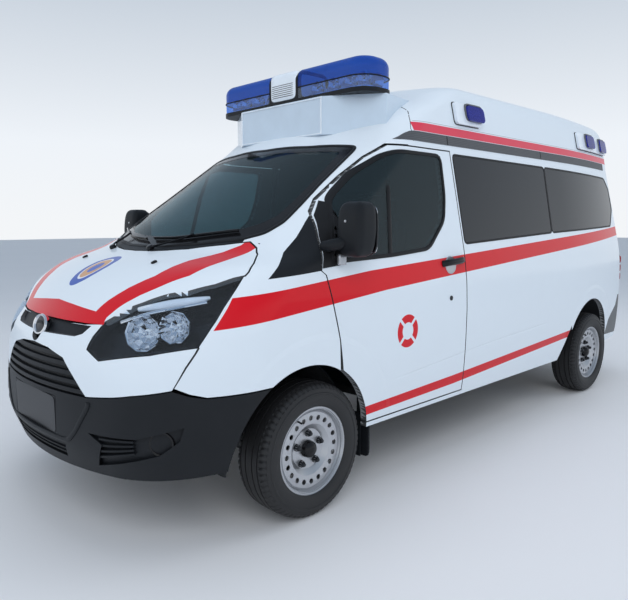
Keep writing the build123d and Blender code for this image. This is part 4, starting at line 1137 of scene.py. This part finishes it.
class AMBULANCE_OT_doors(bpy.types.Operator):
    """Adds door handles, locks, mirrors, and the sliding door's grip and rail."""

    bl_idname = "ambulance.doors"
    bl_label = "Door fittings"

    def execute(self, context):
        for side, hand in BOTH:
            body = f"door_{side[0]}"
            line = curve_through([(0.636, 0.969, 1.196), (0.600, 0.992, 1.203), (0.525, 0.999, 1.208),
                                  (0.450, 0.993, 1.212), (0.418, 0.972, 1.214)], 5)
            bar = tube(line, [0.008] + [0.012] * (len(line) - 2) + [0.008], sides=12, flat=1.6)
            cup_at = tuple(SIDE([0.552], [1.186])[0][0])
            cup = lathe(cup_at, (0.02, 1, 0.1), [(0.0015, 0.0), (0.002, 0.030), (0.004, 0.044), (0.0055, 0.050),
                                                 (-0.002, 0.055)], 32)
            lock_at = tuple(SIDE([0.561], [0.991])[0][0])
            lock = lathe(lock_at, (0, 1, 0), [(0.005, 0.0), (0.006, 0.009), (0.004, 0.014), (-0.002, 0.015)], 24)
            flip = (lambda form: form) if hand > 0 else flipped
            new_object(f"door_handle_{side}", *flip(bar), ["gloss_black"], body)
            new_object(f"door_handle_cup_{side}", *flip(cup), ["silver"], body)
            new_object(f"door_lock_{side}", *flip(lock), ["dark_metal"], body)

            def mirror_shape(u, v, w):
                tall = 1.0 - 0.10 * (w < 0) * abs(w)
                return (u * (1.0 - 0.16 * w * w) - 0.10 * w, v * (1.0 - 0.08 * max(w, 0.0)) * tall, w)

            head = crowned((1.480, 1.052, 1.406), (0.140, 0.164, 0.264), 5.0, 12, shape=mirror_shape)
            arm = tube(curve_through([(1.582, 0.930, 1.322), (1.576, 0.968, 1.330), (1.548, 1.000, 1.338),
                                      (1.500, 1.020, 1.345)], 4), [0.028] + [0.036] * 11 + [0.034], sides=16, flat=0.8)
            new_object(f"mirror_head_{side}", *flip(joined([head, arm])), ["black_plastic"], body,
                       replaces=[f"mirror_{side}"])
            glass = crowned((1.409, 1.052, 1.402), (0.008, 0.140, 0.225), 7.0, 8)
            new_object(f"mirror_glass_{side}", *flip(glass), ["chrome"], body)
            dot = lathe((1.549, 1.040, 1.445), (1, 0, 0), [(0.002, 0.0), (0.001, 0.006), (-0.003, 0.007)], 16)
            foot = crowned((1.520, 0.992, 1.262), (0.052, 0.026, 0.056), 4.0, 5)
            new_object(f"mirror_fittings_{side}", *flip(joined([dot, foot])), ["silver"], body)
            edge = tube([(1.415, 1.052 + 0.074 * math.copysign(abs(math.cos(a)) ** 0.5, math.cos(a)),
                          1.402 + 0.117 * math.copysign(abs(math.sin(a)) ** 0.5, math.sin(a)))
                         for a in np.linspace(0, math.tau, 40, endpoint=False)], 0.004, True, 8)
            new_object(f"mirror_edge_{side}", *flip(edge), ["dark_metal"], body)
        grip = crowned((0.200, 0.991, 1.195), (0.200, 0.022, 0.034), 4.0, 8)
        cup = crowned((0.200, 0.976, 1.190), (0.110, 0.014, 0.090), 3.0, 8)
        new_object("sliding_door_grip", *flipped(grip), ["gloss_black"], "body")
        new_object("sliding_door_cup", *flipped(cup), ["silver"], "body")
        rail = band([(x, 1.300) for x in np.linspace(-1.02, -2.20, 24)], bead(0.012, 0.003), SIDE, False)
        new_object("sliding_door_rail", *flipped(rail), ["rubber"], "body")
        return {"FINISHED"}


class AMBULANCE_OT_roof(bpy.types.Operator):
    """Builds the light bar's inside, the speaker's slats, the roof lamps' frames and the grey band."""

    bl_idname = "ambulance.roof"
    bl_label = "Roof fittings"

    def execute(self, context):
        strip = patch(ROOF_BAND, ROOF_SIDE, 0.003, 0.003, 0.05)
        new_object("roof_band", *both(strip), ["roof_band"], "body")
        joints = [band([(x, 1.910), (x, 1.937), (x, 1.964)], flat_strip(0.003, 0.0042), ROOF_SIDE, False)
                  for x in (0.400, -0.840)]
        new_object("roof_band_joints", *both(*joints), ["rubber"], "body")
        rims = []
        for x1, x0, z0, z1 in ((0.183, -0.017, 2.080, 2.178), (-1.721, -1.920, 2.071, 2.175),
                               (-2.090, -2.280, 2.062, 2.170)):
            outline = [(x0, z0), (x1, z0), (x1, z1), (x0, z1)]
            rims.append(band(rounded(outline, 0.03), bead(0.008, 0.034, 0.018), ROOF_SIDE))
        new_object("roof_lamp_frames", *both(*rims), ["grey_plastic"], "body")
        pods = []
        for x1, x0, z0, z1 in ((0.290, 0.000, 2.052, 2.188), (-1.560, -2.310, 2.046, 2.182)):
            outline = [(x0, z0), (x1, z0), (x1, z1), (x0, z1)]
            pods.append(band(rounded(outline, 0.024), bead(0.005, 0.004), ROOF_SIDE))
        new_object("roof_pod_seams", *both(*pods), ["rubber"], "body")
        base = crowned((0.857, 0.410, 2.212), (0.250, 0.500, 0.012), 8.0, 6)
        bowls, bulbs = [], []
        for y in (0.215, 0.355, 0.495, 0.600):
            for x, turn in ((0.905, 1.0), (0.800, -1.0)):
                profile = [(-0.036, 0.0), (-0.034, 0.016), (-0.020, 0.036), (0.0, 0.050), (0.003, 0.052)]
                bowls.append(lathe((x, y, 2.262), (turn, 0.0, 0.08), profile, 10))
                bulbs.append(lathe((x - 0.02 * turn, y, 2.262), (turn, 0, 0.08), [(-0.01, 0.0), (-0.01, 0.009),
                                                                                  (0.012, 0.009), (0.017, 0.0)], 12))
        new_object("bar_reflectors", *both(base, *bowls), ["chrome"], "body", crease=10.0)
        new_object("bar_bulbs", *both(*bulbs), ["lamp_white"], "body")
        joint = []
        for hand in (1, -1):
            y0, y1, r = 0.137, 0.688, 0.125
            x0, x1 = 0.712, 1.003
            loop = []
            for cx, cy, a0 in ((x1 - r, y1 - r, 0.0), (x0 + r, y1 - r, math.pi / 2)):
                for k in range(9):
                    a = a0 + math.pi / 2 * k / 8
                    loop.append((cx + r * math.cos(a), (cy + r * math.sin(a)) * hand, 2.272))
            loop = [(x1, y0 * hand, 2.272), *loop, (x0, y0 * hand, 2.272)]
            joint.append(tube(loop, 0.004, sides=8))
        new_object("bar_dome_joint", *joined(joint), ["rubber"], "body")
        front = []
        shell = crowned((0.866, 0.0, 2.290), (0.292, 0.276, 0.190), 7.0, 10)
        for k in range(11):
            z = 2.232 + 0.012 * k
            front.append(crowned((1.010 - max(0.0, z - 2.31) * 0.6, 0.0, z), (0.006, 0.200, 0.005), 5.0, 3))
        new_object("speaker_shell", *shell, ["white_shell"], "body")
        new_object("speaker_slats", *joined(front), ["grey_plastic"], "body")
        # a raised edge round the blank sign's faces
        edges = []
        for y in (-0.375, 0.375):
            edges.append(tube([(1.041, y, 1.962), (1.041, y, 2.176)], 0.005, sides=8))
        for z in (1.966, 2.172):
            edges.append(tube([(1.041, -0.375, z), (1.041, 0.375, z)], 0.004, sides=8))
        new_object("sign_edges", *joined(edges), ["white_shell"], "body")
        return {"FINISHED"}


CAMERA_AT = (3.7233, 3.0455, 1.4332)
CAMERA_YAW = -2.3466
CAMERA_PITCH = -0.1219
CAMERA_ROLL = -0.0034
CAMERA_LENS = 35.6675
FLOOR_HALF = 60.0

TYRE_HALF = [
    (0.079, 0.205), (0.085, 0.214), (0.095, 0.222), (0.1015, 0.235), (0.1055, 0.252), (0.1062, 0.268),
    (0.1045, 0.280), (0.1072, 0.2835), (0.1070, 0.2875), (0.1030, 0.291), (0.1015, 0.300), (0.0990, 0.306),
    (0.1000, 0.309), (0.0965, 0.314), (0.0925, 0.3205), (0.0860, 0.3265),
    (0.0780, 0.3302), (0.0690, 0.3322), (0.0630, 0.3330), (0.0620, 0.3262), (0.0560, 0.3262), (0.0550, 0.3336),
    (0.0270, 0.3344), (0.0260, 0.3268), (0.0200, 0.3268), (0.0190, 0.3347), (0.0, 0.3349),
]


class AMBULANCE_OT_wheels(bpy.types.Operator):
    """Builds the tyres with their tread, the wheel nuts and the centre caps."""

    bl_idname = "ambulance.wheels"
    bl_label = "Wheels"

    def execute(self, context):
        depth = context.scene.ambulance.sipe_depth
        profile = TYRE_HALF + [(-a, r) for a, r in reversed(TYRE_HALF[:-1])]
        parts = 264

        def wave(i, j):
            return -depth if j % 4 == 0 and abs(profile[i][0]) > 0.065 and profile[i][1] > 0.311 else 0.0

        for tag, x, hand in (
            ("fl", FRONT_AXLE, 1), ("fr", FRONT_AXLE, -1), ("rl", REAR_AXLE, 1), ("rr", REAR_AXLE, -1),
        ):
            hub = (x, WHEEL_Y * hand, AXLE_Z)
            out = (0, hand, 0)
            body = f"wheel_{tag}"
            new_object(f"tyre_tread_{tag}", *lathe(hub, out, profile, parts, True, wave), ["tyre"], body,
                       replaces=[f"tyre_{tag}"], crease=28.0)
            cap = lathe(hub, out, [(0.088, 0.0), (0.086, 0.016), (0.080, 0.030), (0.070, 0.039), (0.060, 0.042),
                                   (0.048, 0.043)], 32)
            rings = lathe(hub, out, [(0.0905, 0.2175), (0.0885, 0.2215), (0.083, 0.2195), (0.0855, 0.214)], 64, True)
            nuts = []
            for k in range(5):
                a = math.pi / 2 + math.tau * k / 5
                at = (x + 0.080 * math.cos(a), WHEEL_Y * hand, AXLE_Z + 0.080 * math.sin(a))
                nuts.append(lathe(at, out, [(0.078, 0.0), (0.076, 0.008), (0.070, 0.0125), (0.048, 0.0125)], 6))
                nuts.append(lathe(at, out, [(0.056, 0.0175), (0.050, 0.0185), (0.047, 0.0185)], 20))
            new_object(f"wheel_cap_{tag}", *cap, ["gloss_black"], body)
            new_object(f"wheel_nuts_{tag}", *joined(nuts), ["dark_metal"], body)
            new_object(f"rim_flange_{tag}", *rings, ["silver"], body)
            a = math.radians(62)
            valve = tube([(x + 0.186 * math.cos(a), (WHEEL_Y + 0.060) * hand, AXLE_Z + 0.186 * math.sin(a)),
                          (x + 0.176 * math.cos(a), (WHEEL_Y + 0.094) * hand, AXLE_Z + 0.176 * math.sin(a))], 0.0045)
            new_object(f"tyre_valve_{tag}", *valve, ["rubber"], body)
        return {"FINISHED"}


def cushion_form(centre, size, crown, turn=(0.0, 0.0, 0.0), channels=(), power=7.0, parts=22):
    """A closed crowned pad: its top swells, its sides pull in between the corners, its channels are sewn down."""

    def shape(u, v, w):
        swell = (1 - u * u) * (1 - v * v)
        lift = crown * max(swell, 0.0) * (1.0 if w > 0 else 0.12)
        dip = sum(0.10 * math.exp(-((v - c) / 0.035) ** 2) for c in channels) if w > 0.2 else 0.0
        pull = 1.0 - 0.05 * (1 - abs(w)) - 0.02 * (1 - v * v)
        return u * pull, v * (1.0 - 0.03 * (1 - u * u)), w * (1.0 + lift) - dip

    return crowned(centre, size, power, parts, turn, shape)


class AMBULANCE_OT_cabin(bpy.types.Operator):
    """Builds the seats, the dashboard's fittings and the stretcher."""

    bl_idname = "ambulance.cabin"
    bl_label = "Cabin"

    def execute(self, context):
        crown = context.scene.ambulance.cushion_crown
        frames = []
        for tag, y in (("left", 0.400), ("right", -0.400)):
            tilt = math.radians(-9.5)
            base = cushion_form((0.810, y, 0.820), (0.490, 0.480, 0.130), crown, channels=(-0.55, 0.55))
            back = cushion_form((0.595, y, 1.160), (0.115, 0.460, 0.600), 0.0, (0.0, tilt, 0.0))
            front = cushion_form((0.622, y, 1.150), (0.560, 0.440, 0.090), crown, (0.0, math.radians(-99.5), 0.0),
                                 channels=(-0.55, 0.55))
            head = cushion_form((0.535, y, 1.530), (0.085, 0.240, 0.145), 0.2, (0.0, tilt, 0.0))
            for name, form in (("seat_cushion", base), ("seat_back", joined([back, front])), ("head_rest", head)):
                piece = new_object(f"{name}_{tag}", *form, ["cloth"], "body", crease=60.0,
                                   replaces=["front_seats"])
            frames.append(crowned((0.800, y, 0.660), (0.380, 0.390, 0.180), 8.0, 6))
            for dy in (-0.06, 0.06):
                frames.append(tube([(0.560, y + dy, 1.420), (0.538, y + dy, 1.500)], 0.007))
        new_object("seat_frames", *joined(frames), ["trim"], "body", replaces=["front_seats"])
        dash = []
        dash.append(crowned((1.415, 0.0, 1.165), (0.230, 0.300, 0.100), 5.0, 8))
        dash.append(crowned((1.420, 0.400, 1.205), (0.200, 0.330, 0.075), 3.0, 8))
        for y in (-0.620, -0.130, 0.130, 0.640):
            dash.append(crowned((1.325, y, 1.170), (0.030, 0.120, 0.050), 4.0, 5, (0.0, math.radians(25), 0.0)))
        new_object("dash_fittings", *joined(dash), ["trim"], "body")
        pad = cushion_form((-1.300, -0.145, 0.868), (1.880, 0.530, 0.085), crown, channels=(-0.6, 0.6), parts=26)
        piece = new_object("stretcher_mattress", *pad, ["pad"], "body", crease=60.0, replaces=["stretcher"])
        tubes = []
        for y in (-0.400, 0.110):
            tubes.append(tube([(-2.240, y, 0.800), (-0.360, y, 0.800)], 0.016))
            for x0, x1 in ((-2.080, -0.700), (-0.560, -1.950)):
                tubes.append(tube([(x0, y, 0.795), ((x0 + x1) / 2, y, 0.690), (x1, y, 0.600)], 0.013))
        for x in (-2.240, -1.300, -0.360):
            tubes.append(tube([(x, -0.400, 0.800), (x, 0.110, 0.800)], 0.014))
        for x in (-1.950, -0.700):
            tubes.append(tube([(x, -0.400, 0.600), (x, 0.110, 0.600)], 0.013))
            for y in (-0.400, 0.110):
                tubes.append(lathe((x, y, 0.590), (0, 1, 0), [(-0.012, 0.0), (-0.012, 0.022), (-0.010, 0.026),
                                                              (0.010, 0.026), (0.012, 0.022), (0.012, 0.0)], 24))
        new_object("stretcher_frame", *joined(tubes), ["silver"], "body", replaces=["stretcher"])
        return {"FINISHED"}


class AMBULANCE_OT_plain(bpy.types.Operator):
    """Gives the remaining CAD nodes their materials."""

    bl_idname = "ambulance.plain"
    bl_label = "Plain nodes"

    def execute(self, context):
        table = {
            "black_plastic": ["front_wheel_liners", "rear_wheel_liners", "light_bar_base"],
            "steel": ["chassis", "rear_axle", "front_structure", "floor", "fuel_tank", "exhaust", "knuckle_left",
                      "knuckle_right"],
            "engine": ["engine_block"],
            "trim": ["dashboard", "steering_wheel", "partition"],
            "sign": ["roof_sign"],
            "plate": ["front_plate"],
            "blue_lens": ["roof_lamp_lenses"],
            "bar_lens": ["light_bar_domes"],
            "white_shell": ["roof_lamp_pods"],
            "silver": ["rim_fl", "rim_fr", "rim_rl", "rim_rr"],
        }
        for mat, nodes in table.items():
            for node in nodes:
                dress(node, mat, 0.0 if node.startswith(("rim_", "light_bar_domes")) else 0.002)
        return {"FINISHED"}


class AMBULANCE_OT_stage(bpy.types.Operator):
    """Sets the floor, the lights and the camera."""

    bl_idname = "ambulance.stage"
    bl_label = "Stage"

    def execute(self, context):
        scene = context.scene
        shade = Shade("studio_floor")
        where, _, _, _ = shade.place()
        tone = shade.mix(shade.noise(where, 0.4), (0.82, 0.82, 0.83), (0.86, 0.86, 0.87))
        shade.surface(Base_Color=tone, Roughness=0.6)
        mesh = bpy.data.meshes.new("studio_floor")
        r = FLOOR_HALF
        mesh.from_pydata([(-r, -r, 0), (r, -r, 0), (r, r, 0), (-r, r, 0)], [], [(0, 1, 2, 3)])
        mesh.materials.append(shade.material)
        floor = bpy.data.objects.new("studio_floor", mesh)
        scene.collection.objects.link(floor)
        scene.view_settings.view_transform = "Standard"
        world = bpy.data.worlds.new("studio")
        scene.world = world
        world.use_nodes = True
        tree = world.node_tree
        back = tree.nodes["Background"]
        coords = tree.nodes.new("ShaderNodeTexCoord")
        split = tree.nodes.new("ShaderNodeSeparateXYZ")
        ramp = tree.nodes.new("ShaderNodeValToRGB")
        tree.links.new(coords.outputs["Generated"], split.inputs[0])
        tree.links.new(split.outputs[2], ramp.inputs[0])
        tree.links.new(ramp.outputs[0], back.inputs[0])
        stops = ((0.0, (0.90, 0.92, 0.94)), (0.12, (0.86, 0.90, 0.95)), (0.45, (0.40, 0.48, 0.58)),
                 (1.0, (0.30, 0.37, 0.47)))
        for i, (place, colour) in enumerate(stops):
            stop = ramp.color_ramp.elements[i] if i < 2 else ramp.color_ramp.elements.new(place)
            stop.position = place
            stop.color = (*colour, 1.0)
        back.inputs[1].default_value = 1.0
        for name, place, size, power in (
            ("key", (6.0, 7.0, 7.0), 6.0, 300.0),
            ("fill", (9.0, -3.0, 4.0), 5.0, 90.0),
            ("rear", (-7.0, 5.0, 6.0), 5.0, 120.0),
            ("top", (0.0, 0.0, 9.0), 7.0, 160.0),
        ):
            data = bpy.data.lights.new(name, "AREA")
            data.size = size
            data.energy = power
            lamp = bpy.data.objects.new(name, data)
            lamp.location = place
            lamp.rotation_euler = (Vector((0, 0, 0.8)) - Vector(place)).to_track_quat("-Z", "Y").to_euler()
            lamp.visible_glossy = False
            scene.collection.objects.link(lamp)
        yaw, pitch, roll = CAMERA_YAW, CAMERA_PITCH, CAMERA_ROLL
        f = Vector((math.cos(pitch) * math.cos(yaw), math.cos(pitch) * math.sin(yaw), math.sin(pitch)))
        right = f.cross(Vector((0, 0, 1))).normalized()
        up = right.cross(f)
        right, up = right * math.cos(roll) + up * math.sin(roll), up * math.cos(roll) - right * math.sin(roll)
        turn = Matrix((right, up, -f)).transposed()
        data = bpy.data.cameras.new("camera")
        data.sensor_width = 36.0
        data.lens = CAMERA_LENS
        cam = bpy.data.objects.new("camera", data)
        cam.matrix_world = Matrix.Translation(CAMERA_AT) @ turn.to_4x4()
        scene.collection.objects.link(cam)
        scene.camera = cam
        return {"FINISHED"}


STEPS = ("panels", "glass", "lamps", "front", "doors", "roof", "wheels", "cabin", "plain", "stage")


class AMBULANCE_PT_panel(bpy.types.Panel):
    """Buttons for each group of pieces."""

    bl_idname = "AMBULANCE_PT_panel"
    bl_label = "Ambulance"
    bl_space_type = "VIEW_3D"
    bl_region_type = "UI"
    bl_category = "Ambulance"

    def draw(self, context):
        settings = context.scene.ambulance
        for name in settings.bl_rna.properties.keys():
            if name not in ("rna_type", "name"):
                self.layout.prop(settings, name)
        for step in STEPS:
            self.layout.operator(f"ambulance.{step}")


CLASSES = (
    AmbulanceSettings, AMBULANCE_OT_panels, AMBULANCE_OT_glass, AMBULANCE_OT_lamps, AMBULANCE_OT_front,
    AMBULANCE_OT_doors, AMBULANCE_OT_roof, AMBULANCE_OT_wheels, AMBULANCE_OT_cabin, AMBULANCE_OT_plain,
    AMBULANCE_OT_stage, AMBULANCE_PT_panel,
)


def register():
    for cls in CLASSES:
        bpy.utils.register_class(cls)
    bpy.types.Scene.ambulance = bpy.props.PointerProperty(type=AmbulanceSettings)


def unregister():
    del bpy.types.Scene.ambulance
    for cls in reversed(CLASSES):
        bpy.utils.unregister_class(cls)


def main():
    """Builds every piece in order."""
    register()
    for step in STEPS:
        if getattr(bpy.ops.ambulance, step)() != {"FINISHED"}:
            raise RuntimeError(f"step {step} did not finish")
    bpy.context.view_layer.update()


if __name__ == "__main__":
    main()
